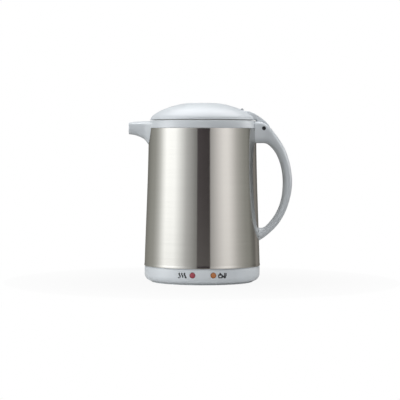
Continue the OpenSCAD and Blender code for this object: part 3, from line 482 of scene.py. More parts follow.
# Finishes with one drifting pattern: name, colour, lowest and highest tone, pattern size in mm, roughness, the rest
PLAIN_FINISHES = {
    # Deep-drawn stainless, electropolished: even and bright with faint draw marks down the wall
    "drawn_steel": ("Drawn stainless", "#C6C6C4", 0.97, 1.02, 6, 0.3, {"metallic": 1.0, "stretch": (1, 1, 0.08)}),
    # Zinc plate, bright dipped: a mottled, slightly cloudy metal
    "plated_steel": ("Zinc plated steel", "#B4B6BA", 0.85, 1.08, 1.2, 0.34, {"metallic": 1.0}),
    # Case-hardened pin, oil quenched: dark with a dull shine
    "pin_steel": ("Oil-quenched steel", "#3A3B3D", 0.8, 1.2, 0.8, 0.35, {"metallic": 1.0}),
    # Cast aluminium, tumbled: dull grey with a fine pitted skin
    "heater_aluminium": ("Cast aluminium", "#BFC0C1", 0.85, 1.05, 1.5, 0.5, {"metallic": 1.0, "bump": 0.2}),
    # Drawn alloy sheath, annealed: dark and evenly oxidised
    "heater_sheath": ("Oxidised heater sheath", "#6E6A64", 0.75, 1.1, 2, 0.48, {"metallic": 0.9}),
    # Moulded silicone: milky and soft, with a dusty sheen
    "seal_rubber": ("Moulded silicone", "#D6D6D0", 0.95, 1.03, 2, 0.55, {"bump": 0.05, "IOR": 1.41}),
    # Pale elastomer, moulded in a blasted tool: matt, with a slight bloom
    "foot_rubber": ("Moulded pale elastomer", "#BFC5C8", 0.92, 1.06, 1.2, 0.7, {"bump": 0.15}),
    # Needled glass felt: pale fibres in a loose mat
    "insulation_felt": ("Needled glass felt", "#E4DFCC", 0.75, 1.05, 0.9, 0.9, {"bump": 0.6, "stretch": (1, 1, 0.35)}),
    # Paper phenolic sheet: brown with a faint paper grain
    "phenolic": ("Paper phenolic", "#8A6A45", 0.85, 1.1, 1.0, 0.5, {}),
    # Cast epoxy lamp body: milky and glossy
    "clear_plastic": ("Cast epoxy", "#D9D4C4", 0.92, 1.04, 1.5, 0.2, {}),
    # Turned brass: warm metal with fine turning marks
    "brass_pin": ("Turned brass", "#D8B56A", 0.85, 1.08, 0.6, 0.3, {"metallic": 1.0, "stretch": (4, 1, 1)}),
    # Extruded silicone lead: matt red-brown sleeve
    "lead_rubber": ("Extruded silicone sleeve", "#A8483C", 0.9, 1.06, 2, 0.6, {}),
}
FINISHES = {}


def finish(slot):
    """The finish for one of the record's material slots, made when it is first asked for."""
    if slot not in FINISHES:
        hues, sizes = bpy.context.scene.pot_colours, bpy.context.scene.pot_sizes
        skin = (sizes.grain, sizes.edge)
        makers = {
            "brushed_steel_shell": (brushed_stainless, "Brushed stainless sheet", hues.steel, sizes.brush_spacing),
            "pale_plastic": (moulded, "Satin moulded ABS", hues.shell, 0.38, *skin),
            "inner_plastic": (moulded, "Moulded polypropylene", hues.inner, 0.42, *skin),
            "grey_plastic": (moulded, "Grey moulded ABS", hues.button, 0.4, *skin),
            "black_plastic": (moulded, "Black moulded ABS", linear("#26272A"), 0.45, *skin),
            "red_lens": (tinted_lens, "Red polycarbonate lens", hues.boil, -1),
            "orange_lens": (tinted_lens, "Orange polycarbonate lens", hues.warm, 1),
            # Ink pressed on with a soft pad: thin and matt, a little uneven in tone
            "ink": (plain_noise, "Pad-printed ink", hues.ink, 0.85, 1.15, 0.5, 0.6),
        }
        if slot in PLAIN_FINISHES:
            name, code, *levels, rest = PLAIN_FINISHES[slot]
            FINISHES[slot] = plain_noise(name, linear(code), *levels, **rest)
        else:
            maker, *values = makers[slot]
            FINISHES[slot] = maker(*values)
    return FINISHES[slot]


# Pieces

def wall_point(share, top):
    """A point of the steel wall at a share of its height; the wall draws in a little above the middle."""
    draw_in = WALL_WAIST * sin(pi * share ** 1.6)
    return BODY_R + (TOP_R - BODY_R) * share - draw_in, HEM_Z + (top - HEM_Z) * share


def body_cutter(gap):
    """What the steel and the shoulder fill, grown by a gap, with all the room over it."""
    wall = [wall_point(i / 24, BODY_TOP - gap) for i in range(25)]
    return turned("body_cutter", [(0, HEM_Z)] + [(r + gap, z) for r, z in wall] + [
        (RING_R0 + gap, BODY_TOP - gap), (RING_R0 + gap, BODY_TOP), (RING_R1 + gap, RING_Z1),
        (RING_R1 + gap, OVER), (0, OVER)], CUTTER_TURNS)


class SteelBody(bpy.types.Operator):
    """Turns the brushed steel body with its rolled hem and notches it for the spout"""

    bl_idname = "handy_pot.steel_body"
    bl_label = "Steel body"

    def execute(self, context):
        turns = context.scene.pot_sizes.turns
        roll, hem_in, hem_top = HEM_R - HEM_ROLL, HEM_R - SHELL_T, SHELL_Z0 + SHELL_T
        hem = [(HEM_INNER_R, SHELL_Z0), (roll, SHELL_Z0)] + arc(roll, SHELL_Z0 + HEM_ROLL, HEM_ROLL, -90, 0, 6)
        flare = [(HEM_R - (HEM_R - BODY_R) * (3 * t * t - 2 * t ** 3), FLARE_Z + (HEM_Z - FLARE_Z) * t)
                 for t in (i / 10 for i in range(1, 11))]
        wall = [wall_point(i / 30, BODY_TOP - LIP_EDGE) for i in range(1, 31)]
        lip = arc(TOP_R - LIP_EDGE, BODY_TOP - LIP_EDGE, LIP_EDGE, 5, 90, 6)
        inside = [(TOP_R - FLANGE, BODY_TOP), (TOP_R - FLANGE, BODY_TOP - SHELL_T),
                  (TOP_R - SHELL_T, BODY_TOP - SHELL_T), (BODY_R - SHELL_T, HEM_Z), (hem_in, FLARE_Z + 0.2),
                  (hem_in, hem_top), (HEM_INNER_R, hem_top)]
        body = turned("steel_body", hem + flare + wall + lip + inside, turns)
        half = PLUG_W / 2 + FIT_GAP
        worked(body, block("notch", -BESIDE, -half, PLUG_Z0 - FIT_GAP, -INSIDE, half, OVER))
        dressed(body, "pot", "brushed_steel_shell", ["outer_shell"], 30)
        return {"FINISHED"}


class Shoulder(bpy.types.Operator):
    """Turns the shoulder ring, blends the beak spout into it and bores the pouring channel"""

    bl_idname = "handy_pot.shoulder"
    bl_label = "Shoulder and spout"

    def execute(self, context):
        sizes = context.scene.pot_sizes
        outline = ([(RING_R0 - RING_FOOT, BODY_TOP)]
                   + arc(RING_R0 - RING_FOOT, BODY_TOP + RING_FOOT, RING_FOOT, -90, 10, 4)
                   + arc(RING_R1 - RING_EDGE, RING_Z1 - RING_EDGE, RING_EDGE, 12, 90, 8)
                   + arc(MOUTH_R + MOUTH_EDGE, RING_Z1 - MOUTH_EDGE, MOUTH_EDGE, 90, 180, 6)
                   + [(MOUTH_R, LEDGE_Z), (LEDGE_R, LEDGE_Z), (LEDGE_R, RING_Z0), (SKIRT_R, RING_Z0),
                      (SKIRT_R, BODY_TOP)])
        shoulder = turned("shoulder_and_spout", outline, sizes.turns)
        sides, rings = 120, []
        for share, top, arch, bottom, half, round_below in through(SPOUT_KEYS, 8):
            under = []
            for i in range(61):
                a = pi * i / 60
                deep = max(sin(a), 0) ** round_below
                lean = SPOUT_LEAN * min(max(1 - share, 0), 1) * deep
                under.append((half * cos(a) * (1 - lean), BODY_TOP + top - arch - (top - arch - bottom) * deep))
            over = [(half * u, BODY_TOP + top - arch * u * u) for u in (i / 10 - 1 for i in range(1, 20))]
            section = eased(under + over, sides, sizes.spout_edge / MM)
            # Rounding draws the section in, so it is brought back to its own height
            low, high = min(p.y for p in section), max(p.y for p in section)
            grow = (top - bottom) / (high - low)
            rings.append([(-TOP_R - share * SPOUT_REACH, p.x * grow, BODY_TOP + bottom + (p.y - low) * grow)
                          for p in section])
        spout = lofted("spout", rings)
        worked(spout, turned("inside", [
            (0, HEM_Z), (BODY_R + FIT_GAP, HEM_Z), (TOP_R + FIT_GAP, BODY_TOP), (SKIRT_R, BODY_TOP),
            (SKIRT_R, RING_Z1 + 1), (0, RING_Z1 + 1)], CUTTER_TURNS))
        worked(shoulder, spout, "UNION")
        plug = block("plug", -TOP_R - 2, -PLUG_W / 2, PLUG_Z0, -SKIRT_R + 1, PLUG_W / 2, BODY_TOP + 1)
        worked(shoulder, plug, "UNION")
        worked(shoulder, rod("bore", (-BESIDE, 0, BORE_Z), (-INSIDE, 0, BORE_Z), BORE_D / 2, 64))
        dressed(shoulder, "pot", "pale_plastic", ["shoulder_ring"])
        return {"FINISHED"}


def tongue_outline():
    """Side outline of the lid's tongue, from inside the dome down to its knuckle."""
    pocket = POCKET_R - MOVE_GAP
    upper = [(BUTTON_X - 10, lid_top(BUTTON_X) - 4), (BUTTON_X0, lid_top(BUTTON_X0) - 0.3),
             (BUTTON_X - 0.4, lid_top(BUTTON_X) + 0.1), (TOP_R - 9.5, LID_Z0 + 11.4), (TOP_R - 3.3, LID_Z0 + 8.8),
             (TOP_R + 1.2, LID_Z0 + 6.1), (TOP_R + 7.1, LID_Z0 + 2.2), (PIN_X + 2.5, PIN_Z + 9),
             (PIN_X + 6.3, PIN_Z + 5.1), (PIN_X + 7.9, PIN_Z + 2.2), (PIN_X + pocket - 0.3, PIN_Z - 0.4)]
    lower = (arc(PIN_X, PIN_Z, pocket - 0.3, -4, -70, 10) + arc(PIN_X, PIN_Z, KNUCKLE_R, -85, -195, 14)
             + [(RING_R0 + 0.9, BODY_TOP + 3), (RING_R1 + 0.9, LID_Z0 + 0.3), (LID_R - 4, LID_Z0 + 0.3)])
    return [(p.x, p.y) for p in eased(upper + lower, 200, 0.45)]


def pin_cutter(name, start, end, gap):
    """A round cutter along the hinge pin, with a gap round it."""
    return rod(name, (PIN_X, start, PIN_Z), (PIN_X, end, PIN_Z), PIN_R + gap)


class Lid(bpy.types.Operator):
    """Turns the lid's dome, joins the hinge tongue to it, hollows it, and opens it for the button and the pin"""

    bl_idname = "handy_pot.lid"
    bl_label = "Lid"

    def execute(self, context):
        sizes = context.scene.pot_sizes
        round_r = LID_R + LID_BEAD - BEAD_EDGE
        dome = ([(0, LID_Z0), (round_r, LID_Z0)] + arc(round_r, LID_Z0 + BEAD_EDGE, BEAD_EDGE, -90, 0, 3)
                + arc(round_r, LID_Z0 + BEAD_H - BEAD_EDGE, BEAD_EDGE, 0, 90, 3)
                + [(LID_R + 0.1, LID_Z0 + BEAD_H + 0.1)]
                + dome_line(LID_R, LID_H, 40) + [(CROWN_R * k / 4, lid_top(0)) for k in (3, 2, 1, 0)])
        lid = turned("lid_shell", dome, sizes.turns)
        worked(lid, extruded("tongue", tongue_outline(), TONGUE_W, sizes.tongue_edge / MM), "UNION")
        r1, h = LID_R - LID_WALL, LID_H - LID_WALL
        hollow = [(0, LID_Z0 - 1), (r1, LID_Z0 - 1)] + dome_line(r1, h, 24) + [(0, LID_Z0 + LID_RIM + h)]
        worked(lid, turned("hollow", hollow, CUTTER_TURNS // 2))
        half = BUTTON_W / 2 + MOVE_GAP
        worked(lid, block("button_gap", BUTTON_X0 - MOVE_GAP, -half, DECK_Z1, BUTTON_X1 + MOVE_GAP, half, OVER))
        worked(lid, pin_cutter("pin_bore", -PIN_REACH, PIN_REACH, PIN_TURN_GAP))
        dressed(lid, "lid", "pale_plastic", ["lid_cover"])
        return {"FINISHED"}


class PourButton(bpy.types.Operator):
    """Shapes the pour button with its raised front lip and finger dip"""

    bl_idname = "handy_pot.pour_button"
    bl_label = "Pour button"

    def execute(self, context):
        front, middle = lid_top(BUTTON_X0), lid_top(BUTTON_X)
        outline = [(BUTTON_X0, BUTTON_Z0 + 1.2), (BUTTON_X0, front + 0.3), (BUTTON_X0 + 0.5, front + 1.2),
                   (BUTTON_X0 + 1.4, front + 1.3), (BUTTON_X0 + 2.6, front + 0.8), (BUTTON_X0 + 3.9, middle + 0.4),
                   (BUTTON_X + 1, middle - 0.3), (BUTTON_X + 3.6, middle - 0.8), (BUTTON_X1, LID_Z0 + 11),
                   (BUTTON_X1, BUTTON_Z0 + 1.2)]
        smooth = [(p.x, p.y) for p in eased(outline, 120, 0.3)]
        button = extruded("pour_button_cap", smooth, BUTTON_W, 0.7)
        half = BUTTON_W / 2 + 2
        foot = block("foot", BUTTON_X0 - 1.4, -half, BUTTON_Z0, BUTTON_X0 + 4, half, BUTTON_Z0 + 1.3)
        worked(button, foot, "UNION")
        dressed(button, "button", "grey_plastic", ["pour_button"])
        return {"FINISHED"}


class ValveSpring(bpy.types.Operator):
    """Winds the spring over the pour valve at one length; it is not made to shorten as the valve lifts"""

    bl_idname = "handy_pot.valve_spring"
    bl_label = "Valve spring"

    def execute(self, context):
        wire, sides, per_turn = SPRING_WIRE / 2, 16, 48
        steps = int(SPRING_TURNS * per_turn)
        low, high = SPRING_Z0 + wire, SPRING_Z1 - wire
        rings = []
        for i in range(steps + 1):
            a = tau * i / per_turn
            outward = Vector((cos(a), sin(a), 0))
            middle = SPRING_R * outward + UP * (low + (high - low) * i / steps)
            rings.append([middle + wire * (outward * cos(b) + UP * sin(b))
                          for b in (tau * j / sides for j in range(sides))])
        spring = lofted("valve_spring_wound", rings)
        dressed(spring, "lid", "plated_steel", ["valve_spring"], 60)
        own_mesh(spring)
        return {"FINISHED"}


def handle_section(key, sides):
    """One ring round the handle from its outer and inner edge, width and squareness."""
    outer_x, outer_z, inner_x, inner_z, share, square = key
    half = GRIP_W / 2 * share / GRIP_SHARE if share <= GRIP_SHARE else (
        GRIP_W / 2 + (FORK_W - GRIP_W) / 2 * (share - GRIP_SHARE) / (1 - GRIP_SHARE))
    points = []
    for i in range(4 * sides):
        a = tau * i / (4 * sides)
        s = signed_power(cos(a), 2 / square)
        points.append((TOP_R + (outer_x + inner_x) / 2 + (outer_x - inner_x) / 2 * s,
                       -half * signed_power(sin(a), 2 / square),
                       BODY_TOP + (outer_z + inner_z) / 2 + (outer_z - inner_z) / 2 * s))
    return evened(points, sides)


class Handle(bpy.types.Operator):
    """Sweeps the D handle, fits it to the body, and cuts its fork, hinge pocket and pin holes"""

    bl_idname = "handy_pot.handle"
    bl_label = "Handle"

    def execute(self, context):
        handle = lofted("handle_grip", [handle_section(key, 88) for key in through(HANDLE_KEYS, 8)])
        worked(handle, body_cutter(TOUCH_GAP))
        slot = ([(INSIDE, OVER), (INSIDE, PIN_Z), (PIN_X - POCKET_R, PIN_Z)]
                + arc(PIN_X, PIN_Z, POCKET_R, 180, 360, 40)[1:] + [(PIN_X + POCKET_R, OVER)])
        worked(handle, extruded("slot", slot, FORK_SLOT, 0.0, 1))
        worked(handle, pin_cutter("pin_hole", -PIN_REACH, PIN_REACH, PIN_HOLD_GAP))
        for side in (-1, 1):
            sink = pin_cutter("pin_sink", side * PIN_REACH, side * (FORK_W / 2 - PIN_SINK_DEEP), PIN_SINK)
            worked(handle, sink)
        dressed(handle, "pot", "pale_plastic", ["handle"])
        self.pin()
        return {"FINISHED"}

    def pin(self):
        """The hinge pin, with crowned ends sunk in the fork."""
        half, head = FORK_W / 2 - PIN_SUNK, PIN_R + PIN_HEAD
        outline = [(0, -half - PIN_CROWN)] + [(head * sin(t), -half - PIN_CROWN * cos(t)) for t in
                                              (pi / 2 * i / 6 for i in range(1, 7))]
        outline += [(head, PIN_HEAD_T - half), (PIN_R, PIN_HEAD_T - half)]
        pin = turned("hinge_pin_crowned", outline + [(r, -z) for r, z in reversed(outline)], 48)
        for v in pin.data.vertices:
            x, y, z = v.co
            v.co = (PIN_X * MM + x, z, PIN_Z * MM - y)
        dressed(pin, "pot", "plated_steel", ["hinge_pin"], 35, "pin_steel")


def base_outline(turn):
    """Section of the base drum; its lower edge tightens behind, where the power inlet needs the room."""
    limit = cos(radians(INLET_TURN))
    behind = min(max((sin(turn) - limit) / (1 - limit), 0), 1)
    tight = behind * behind * (3 - 2 * behind)
    round_r = BASE_EDGE + (INLET_EDGE - BASE_EDGE) * tight
    inside = BASE_R - BASE_WALL
    start = acos(max((FOOT_R1 - BASE_R + round_r) / round_r, 0))
    edge = [(BASE_R - round_r + round_r * cos(t), BASE_Z0 + round_r - round_r * sin(t))
            for t in (start * (1 - i / 14) for i in range(15))]
    foot = [(FLOOR_R, BASE_Z0), (FOOT_R0, BASE_Z0), (FOOT_R0, FOOT_Z), (FOOT_R1, FOOT_Z), (FOOT_R1, edge[0][1] + 0.01)]
    top = arc(BASE_R - BASE_TOP_EDGE, BASE_Z1 - BASE_TOP_EDGE, BASE_TOP_EDGE, 0, 90, 6)
    spigot = [(BASE_STEP_R, BASE_Z1), (BASE_STEP_R, SHELL_Z0), (SPIGOT_R1, SHELL_Z0), (SPIGOT_R1, SPIGOT_Z1),
              (SPIGOT_R0, SPIGOT_Z1), (SPIGOT_R0, SPIGOT_Z0), (inside, SPIGOT_Z0)]
    bend = arc(inside - BASE_BEND, FLOOR_Z + BASE_BEND, BASE_BEND, 0, -90, 8)
    floor = [(COVER_LIP_R, FLOOR_Z), (COVER_LIP_R, COVER_Z1), (COVER_R, COVER_Z1), (COVER_R, COVER_Z0),
             (FLOOR_R, COVER_Z0)]
    return foot + edge + top + spigot + bend + floor


def lamp_out(side):
    """Direction out through a lamp, with the boil lamp on the spout's side."""
    turn = -pi / 2 + side * LAMP_AZ
    return Vector((cos(turn), sin(turn), 0))


class Base(bpy.types.Operator):
    """Turns the base drum and opens it for the power inlet and the two lamps"""

    bl_idname = "handy_pot.base"
    bl_label = "Base"

    def execute(self, context):
        base = turned("base_drum", base_outline, context.scene.pot_sizes.turns)
        gap = block("inlet_gap", -INLET_W / 2, INLET_Y, FLOOR_Z, INLET_W / 2, BESIDE, INLET_Z1)
        worked(base, gap)
        for side in (-1, 1):
            start, end = (lamp_out(side) * reach + UP * LAMP_Z for reach in (INSIDE, BESIDE))
            worked(base, rod("lamp_bore", start, end, LAMP_D / 2 + LAMP_GAP))
        dressed(base, "pot", "pale_plastic", ["base_housing"])
        return {"FINISHED"}


class Lenses(bpy.types.Operator):
    """Turns the two domed lamp lenses with their snap flanges"""

    bl_idname = "handy_pot.lenses"
    bl_label = "Lamp lenses"

    def execute(self, context):
        half, front, rim = LAMP_D / 2, LENS_BACK - LENS_FLANGE_T, BASE_R - LENS_SUNK
        flange = half + LENS_FLANGE
        outline = ([(0, front), (flange, front), (flange, LENS_BACK), (half, LENS_BACK), (half, rim)]
                   + [(half * cos(t), rim + LENS_DOME * sin(t))
                      for t in (pi / 2 * i / 10 for i in range(1, 11))])
        for name, node, slot, side in (("boil_lens_dome", "boil_lens", "red_lens", -1),
                                       ("warm_lens_dome", "warm_lens", "orange_lens", 1)):
            lens = turned(name, outline, 64)
            out = lamp_out(side)
            across = UP.cross(out)
            for v in lens.data.vertices:
                x, y, z = v.co
                v.co = out * z + across * x + UP * y + UP * LAMP_Z * MM
            dressed(lens, "pot", slot, [node])
        return {"FINISHED"}


def stroke(path, width):
    """Quads along a flat path, mitred where it bends, as points in the plane."""
    pairs = []
    for k, point in enumerate(path):
        a, b = Vector(path[max(k - 1, 0)]), Vector(path[min(k + 1, len(path) - 1)])
        normal = Vector((a.y - b.y, b.x - a.x)).normalized() * width / 2
        pairs.append((Vector(point) + normal, Vector(point) - normal))
    return [(p[0], q[0], q[1], p[1]) for p, q in zip(pairs, pairs[1:])]


def wave(x, height, swing, lift=0.0):
    """A rising steam stroke."""
    return [(x + swing * sin(tau * i / 12), height * (i / 12 - 0.5) + lift) for i in range(13)]


class Marks(bpy.types.Operator):
    """Prints the plain pictograms beside the lamps: steam for boiling, a cup for keeping warm"""

    bl_idname = "handy_pot.marks"
    bl_label = "Printed marks"

    def execute(self, context):
        sizes = context.scene.pot_sizes
        h, w = sizes.mark_height / MM, sizes.mark_stroke / MM
        steam = [wave(x, h, 0.75) for x in (-5.2, -1.7, 1.8)] + [[(-7.4, -h / 2), (4.2, -h / 2)]]
        cup = [[(-5.4, h * 0.1), (-5.0, -h / 2), (-1.0, -h / 2), (-0.6, h * 0.1)], [(-5.4, h * 0.1), (-0.6, h * 0.1)],
               wave(-3.0, h * 0.35, 0.4, h * 0.33), arc(-0.7, -h * 0.2, 1.1, -80, 80, 8),
               [(3.0, -h / 2), (3.0, h / 2)], arc(3.0, -h / 2 + 1.0, 1.0, 0, 360, 16),
               [(4.2, h * 0.3), (5.6, h * 0.3)], [(4.2, 0.0), (5.6, 0.0)]]
        for name, paths, middle in (("boil_mark", steam, BOIL_MARK_AT), ("warm_mark", cup, WARM_MARK_AT)):
            points, faces = [], []
            for path in paths:
                for quad in stroke(path, w):
                    first = len(points)
                    for r in (BASE_R - INK_UNDER, BASE_R + INK_OVER):
                        for p in quad:
                            a = -pi / 2 + (middle + p.x) / BASE_R
                            points.append((r * cos(a), r * sin(a), LAMP_Z + p.y))
                    faces += [tuple(first + k for k in f) for f in
                              ((3, 2, 1, 0), (4, 5, 6, 7), (0, 1, 5, 4), (1, 2, 6, 5), (2, 3, 7, 6), (3, 0, 4, 7))]
            mark = new_piece(name, points, faces)
            dressed(mark, "pot", "black_plastic", crease=30, look="ink")
        return {"FINISHED"}


class InnerFinishes(bpy.types.Operator):
    """Gives every solid that still shows the finish of its material slot"""

    bl_idname = "handy_pot.inner_finishes"
    bl_label = "Finishes of the solids"

    def execute(self, context):
        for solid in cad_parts.values():
            for holder in solid.material_slots:
                holder.material = finish(holder.material.name.split(".")[0])
        return {"FINISHED"}


# Stage

# Lights of the ring that the steel mirrors: first and last angle from the camera in degrees, how fast each one fades
# before and after them, its brightness and its colour
RING_LIGHTS = [
    (-130, -106, 30, 20, 0.17, "#FFFFF4"),  # pale wall at the left rear
    (-80, -60, 18, 27, 0.95, "#FFFFFD"),  # white soft light
    (44, 53, 29, 22, 0.63, "#FFFAF7"),  # cream reflector
    (85, 107, 25, 13, 0.14, "#FFFEF2"),  # pale wall at the right rear
    (135, 142, 4, 11, 0.11, "#FFF4EC"),  # narrow strip past the handle
]
RING_GREY, RING_FADE = "#33322F", 1.5
# Dark gap where the camera stands: its first and last angle, and its colour at both
GAP, GAP_COLOURS = (-11.3, 14.8), ("#352F32", "#231D20")
PANEL_R, PANEL_Z0, PANEL_Z1, PANEL_SIDES, PANEL_GLOW = 1500, -1200, 1500, 96, 1.68
# Radii of the table and of its part that throws light back, and their thickness
TABLE_R, SHEET_R, SHEET_T = 1200, 260, 0.01
# Sensor in millimetres, picture in pixels, and in it the body's axis right of the middle and the horizon above it
SENSOR, PICTURE, AXIS_RIGHT, HORIZON_UP = 36, 400, 2.3, 52.6
# Height that the lights point at, in metres
LIGHT_AIM = 0.13
WHITE = {"Color": (1, 1, 1, 1), "Strength": 1.0}


def ring_light(turn):
    """Colour of the ring at an angle from the camera, where each light fades on both sides of its own angles."""
    glow = Vector(linear(RING_GREY))
    for start, end, before, after, bright, code in RING_LIGHTS:
        past = max((start - turn) / before, (turn - end) / after, 0)
        glow += Vector(linear(code)) * bright * exp(-past ** RING_FADE)
    return (*glow[:3], 1.0)


def direct_view(add):
    """One where the camera looks straight, in a reflection or through a clear piece; nothing for lighting rays."""
    path = add("ShaderNodeLightPath")
    seen = path.outputs["Is Camera Ray"]
    for kind in ("Is Glossy Ray", "Is Transmission Ray"):
        seen = add("ShaderNodeMath", {0: seen, 1: path.outputs[kind]}, operation="MAXIMUM")
    return seen


def disc(name, radius, turns, drop):
    """A thin round sheet, dropped a little under the pot's rest face."""
    sheet = turned(name, [(0, 0), (radius, 0), (radius, -SHEET_T), (0, -SHEET_T)], turns)
    sheet.location.z = -drop * MM
    return sheet


def by_distance(add, place, start, end, low, high):
    """Eases from low to high between two distances from an object's middle."""
    away = add("ShaderNodeVectorMath", {0: place}, operation="LENGTH")
    return add("ShaderNodeMapRange", {
        "Value": away.outputs["Value"], "From Min": start, "From Max": end, "To Min": low, "To Max": high},
        interpolation_type="SMOOTHSTEP")


class Stage(bpy.types.Operator):
    """Sets the floor, the soft lights, the graded panels that the steel mirrors, the world and the camera"""

    bl_idname = "handy_pot.stage"
    bl_label = "Stage"

    def execute(self, context):
        scene = context.scene
        look = scene.pot_stage
        scene.view_settings.view_transform = "Standard"
        self.world(scene, look)
        self.floor()
        self.sheet()
        self.panels()
        self.unlit = bpy.data.collections.new("Mirrors panels only")
        self.unlit.objects.link(bpy.data.objects["steel_body"])
        self.unlit.collection_objects[0].light_linking.link_state = "EXCLUDE"
        # The spout is kept out of the steel's reflection, where it would blot the plain grain beside its root
        bpy.data.objects["shoulder_and_spout"].visible_glossy = False
        self.lamp("Top light", look.top_power, (0.08, 0.25, 1.4), 1.6)
        self.lamp("Left light", look.left_power, (-1.4, -0.25, 0.35), 0.8)
        self.lamp("Right light", look.right_power, (1.36, 0.49, 0.4), 0.7)
        self.lamp("Front light", look.front_power, (0.1, -2.0, 0.35), 0.8)
        self.camera(scene, look)
        return {"FINISHED"}

    def camera(self, scene, look):
        """A long lens a little over the pot, turned and rolled as in the photo."""
        camera = bpy.data.objects.new("Camera", bpy.data.cameras.new("Camera"))
        scene.collection.objects.link(camera)
        camera.data.sensor_width = SENSOR
        camera.data.lens = look.camera_lens
        turn = look.camera_side
        camera.location = (-look.camera_away * sin(turn), -look.camera_away * cos(turn), look.camera_height)
        pixels = look.camera_lens / SENSOR * PICTURE
        camera.rotation_euler = (
            pi / 2 - atan(HORIZON_UP / pixels), 0, atan(AXIS_RIGHT / pixels) - turn)
        camera.rotation_euler.rotate_axis("Z", look.camera_roll)
        scene.camera = camera

    def world(self, scene, look):
        """A white backdrop to the eye and a weak fill to the pot, most of it from the ceiling."""
        scene.world = bpy.data.worlds.new("Studio")
        add = partial(add_node, emptied(scene.world))
        backdrop = add("ShaderNodeBackground", WHITE)
        place = add("ShaderNodeTexCoord").outputs["Generated"]
        parts = add("ShaderNodeSeparateXYZ", {0: place})
        height = add("ShaderNodeMapRange", {
            "Value": parts.outputs["Z"], "From Min": -1.0, "From Max": 1.0,
            "To Min": 0.4 * look.fill, "To Max": 2.0 * look.fill})
        fill = add("ShaderNodeBackground", {**WHITE, "Strength": height})
        mixed = add("ShaderNodeMixShader", {0: direct_view(add), 1: fill, 2: backdrop})
        add("ShaderNodeOutputWorld", {"Surface": mixed})

    def floor(self):
        """A white table; close to the pot a part of what the eye sees carries its shadow."""
        floor = disc("floor", TABLE_R, 96, 0.2)
        material, add, place = started("Matt white table")
        matt = add("ShaderNodeBsdfPrincipled", {"Base Color": linear("#F2F2F2"), "Roughness": 0.9})
        plain = by_distance(add, place, 0.08, 0.4, 0.92, 1.0)
        share = add("ShaderNodeMath", {0: direct_view(add), 1: plain}, operation="MULTIPLY")
        white = add("ShaderNodeEmission", WHITE)
        mixed = add("ShaderNodeMixShader", {0: share, 1: matt, 2: white})
        add("ShaderNodeOutputMaterial", {"Surface": mixed})
        floor.data.materials.append(material)
        floor.visible_glossy = floor.visible_diffuse = False

    def sheet(self):
        """The part of the table that throws light back up at the pot, most of it close to the base."""
        sheet = disc("bounce_sheet", SHEET_R, 48, 0.1)
        material, add, place = started("Graded card")
        far = by_distance(add, place, 0.085, 0.15, 0.0, 1.0)
        graded = add("ShaderNodeMix", {0: far, 6: linear("#DCDCDC"), 7: linear("#A0A0A0")}, data_type="RGBA")
        matt = add("ShaderNodeBsdfPrincipled", {"Base Color": graded.outputs[2], "Roughness": 0.9})
        add("ShaderNodeOutputMaterial", {"Surface": matt})
        sheet.data.materials.append(material)
        sheet.visible_camera = sheet.visible_glossy = sheet.visible_shadow = False

    def panels(self):
        """The ring of graded panels, which only reflections see."""
        sides = range(PANEL_SIDES)
        ring = [(PANEL_R * cos(a), PANEL_R * sin(a)) for a in (tau * i / PANEL_SIDES for i in sides)]
        points = [(x, y, z) for z in (PANEL_Z0, PANEL_Z1) for x, y in ring]
        faces = [(i, (i + 1) % PANEL_SIDES, PANEL_SIDES + (i + 1) % PANEL_SIDES, PANEL_SIDES + i) for i in sides]
        panels = new_piece("graded_panels", points, faces + [tuple(sides)])
        material, add, place = started("Graded studio panels")
        parts = add("ShaderNodeSeparateXYZ", {0: place})
        away = add("ShaderNodeMath", {0: parts.outputs["Y"], 1: -1.0}, operation="MULTIPLY")
        angle = add("ShaderNodeMath", {0: parts.outputs["X"], 1: away}, operation="ARCTAN2")
        share = add("ShaderNodeMapRange", {
            "Value": angle, "From Min": -pi, "From Max": pi, "To Min": 0.0, "To Max": 1.0})
        ramp = add("ShaderNodeValToRGB", {"Fac": share})
        stops = ramp.color_ramp.elements
        stops[0].color, stops[-1].color = ring_light(-180), ring_light(180)
        turns = {turn for start, end, before, after, *_ in RING_LIGHTS for i in range(3)
                 for turn in (start - i * before, end + i * after) if abs(turn) < 180}
        for turn in sorted(turns):
            stops.new((turn + 180) / 360).color = ring_light(turn)
        first, last = map(radians, GAP)
        inside = add("ShaderNodeMath", {0: angle, 1: (first + last) / 2, 2: (last - first) / 2}, operation="COMPARE")
        across = add("ShaderNodeMapRange", {"Value": angle, "From Min": first, "From Max": last})
        dark = add("ShaderNodeMix", {0: across, 6: linear(GAP_COLOURS[0]), 7: linear(GAP_COLOURS[1])}, data_type="RGBA")
        ring_glow = add("ShaderNodeMix", {0: inside, 6: ramp, 7: dark.outputs[2]}, data_type="RGBA")
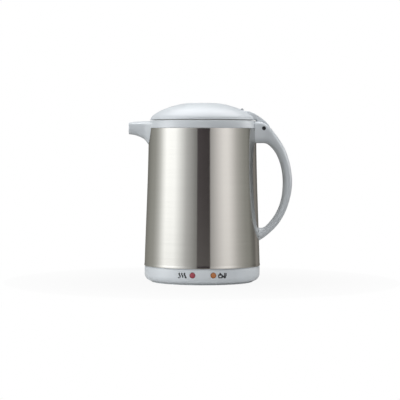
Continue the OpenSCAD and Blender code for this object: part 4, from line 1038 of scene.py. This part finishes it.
        # Under the table's height the panels give way to the grey of the room
        depth = add("ShaderNodeMapRange", {
            "Value": parts.outputs["Z"], "From Min": 0.35, "From Max": -0.35, "To Min": 0.0, "To Max": 0.5},
            interpolation_type="SMOOTHSTEP")
        graded = add("ShaderNodeMix", {0: depth, 6: ring_glow.outputs[2], 7: linear("#84817B")}, data_type="RGBA")
        glow = add("ShaderNodeEmission", {"Color": graded.outputs[2], "Strength": PANEL_GLOW})
        add("ShaderNodeOutputMaterial", {"Surface": glow})
        panels.data.materials.append(material)
        panels.visible_camera = panels.visible_diffuse = panels.visible_transmission = panels.visible_shadow = False

    def lamp(self, name, watts, place, size):
        """A soft square light that points at the pot and leaves the steel to the panels."""
        light = bpy.data.lights.new(name, "AREA")
        light.energy = watts
        light.shape = "SQUARE"
        light.size = size
        lamp = bpy.data.objects.new(name, light)
        bpy.context.scene.collection.objects.link(lamp)
        lamp.location = place
        lamp.rotation_euler = (UP * LIGHT_AIM - Vector(place)).to_track_quat("-Z", "Y").to_euler()
        lamp.light_linking.receiver_collection = self.unlit


class PotPanel(bpy.types.Panel):
    """Lists the pot's steps, sizes, colours and stage"""

    bl_idname = "VIEW3D_PT_handy_pot"
    bl_label = "Handy pot"
    bl_space_type = "VIEW_3D"
    bl_region_type = "UI"
    bl_category = "Handy Pot"

    def draw(self, context):
        for step in STEPS:
            self.layout.operator(step.bl_idname)
        for group in (context.scene.pot_sizes, context.scene.pot_colours, context.scene.pot_stage):
            box = self.layout.box()
            for name in group.__annotations__:
                box.prop(group, name)


STEPS = (SteelBody, Shoulder, Lid, PourButton, ValveSpring, Handle, Base, Lenses, Marks, InnerFinishes, Stage)
GROUPS = {"pot_sizes": PotSizes, "pot_colours": PotColours, "pot_stage": PotStage}


def register():
    for group in GROUPS.values():
        bpy.utils.register_class(group)
    for name, group in GROUPS.items():
        setattr(bpy.types.Scene, name, bpy.props.PointerProperty(type=group))
    for kind in (*STEPS, PotPanel):
        bpy.utils.register_class(kind)


def unregister():
    for kind in reversed((*STEPS, PotPanel)):
        bpy.utils.unregister_class(kind)
    for name, group in GROUPS.items():
        delattr(bpy.types.Scene, name)
        bpy.utils.unregister_class(group)


def main():
    register()
    for step in STEPS:
        family, name = step.bl_idname.split(".")
        getattr(getattr(bpy.ops, family), name)()


if __name__ == "__main__":
    main()
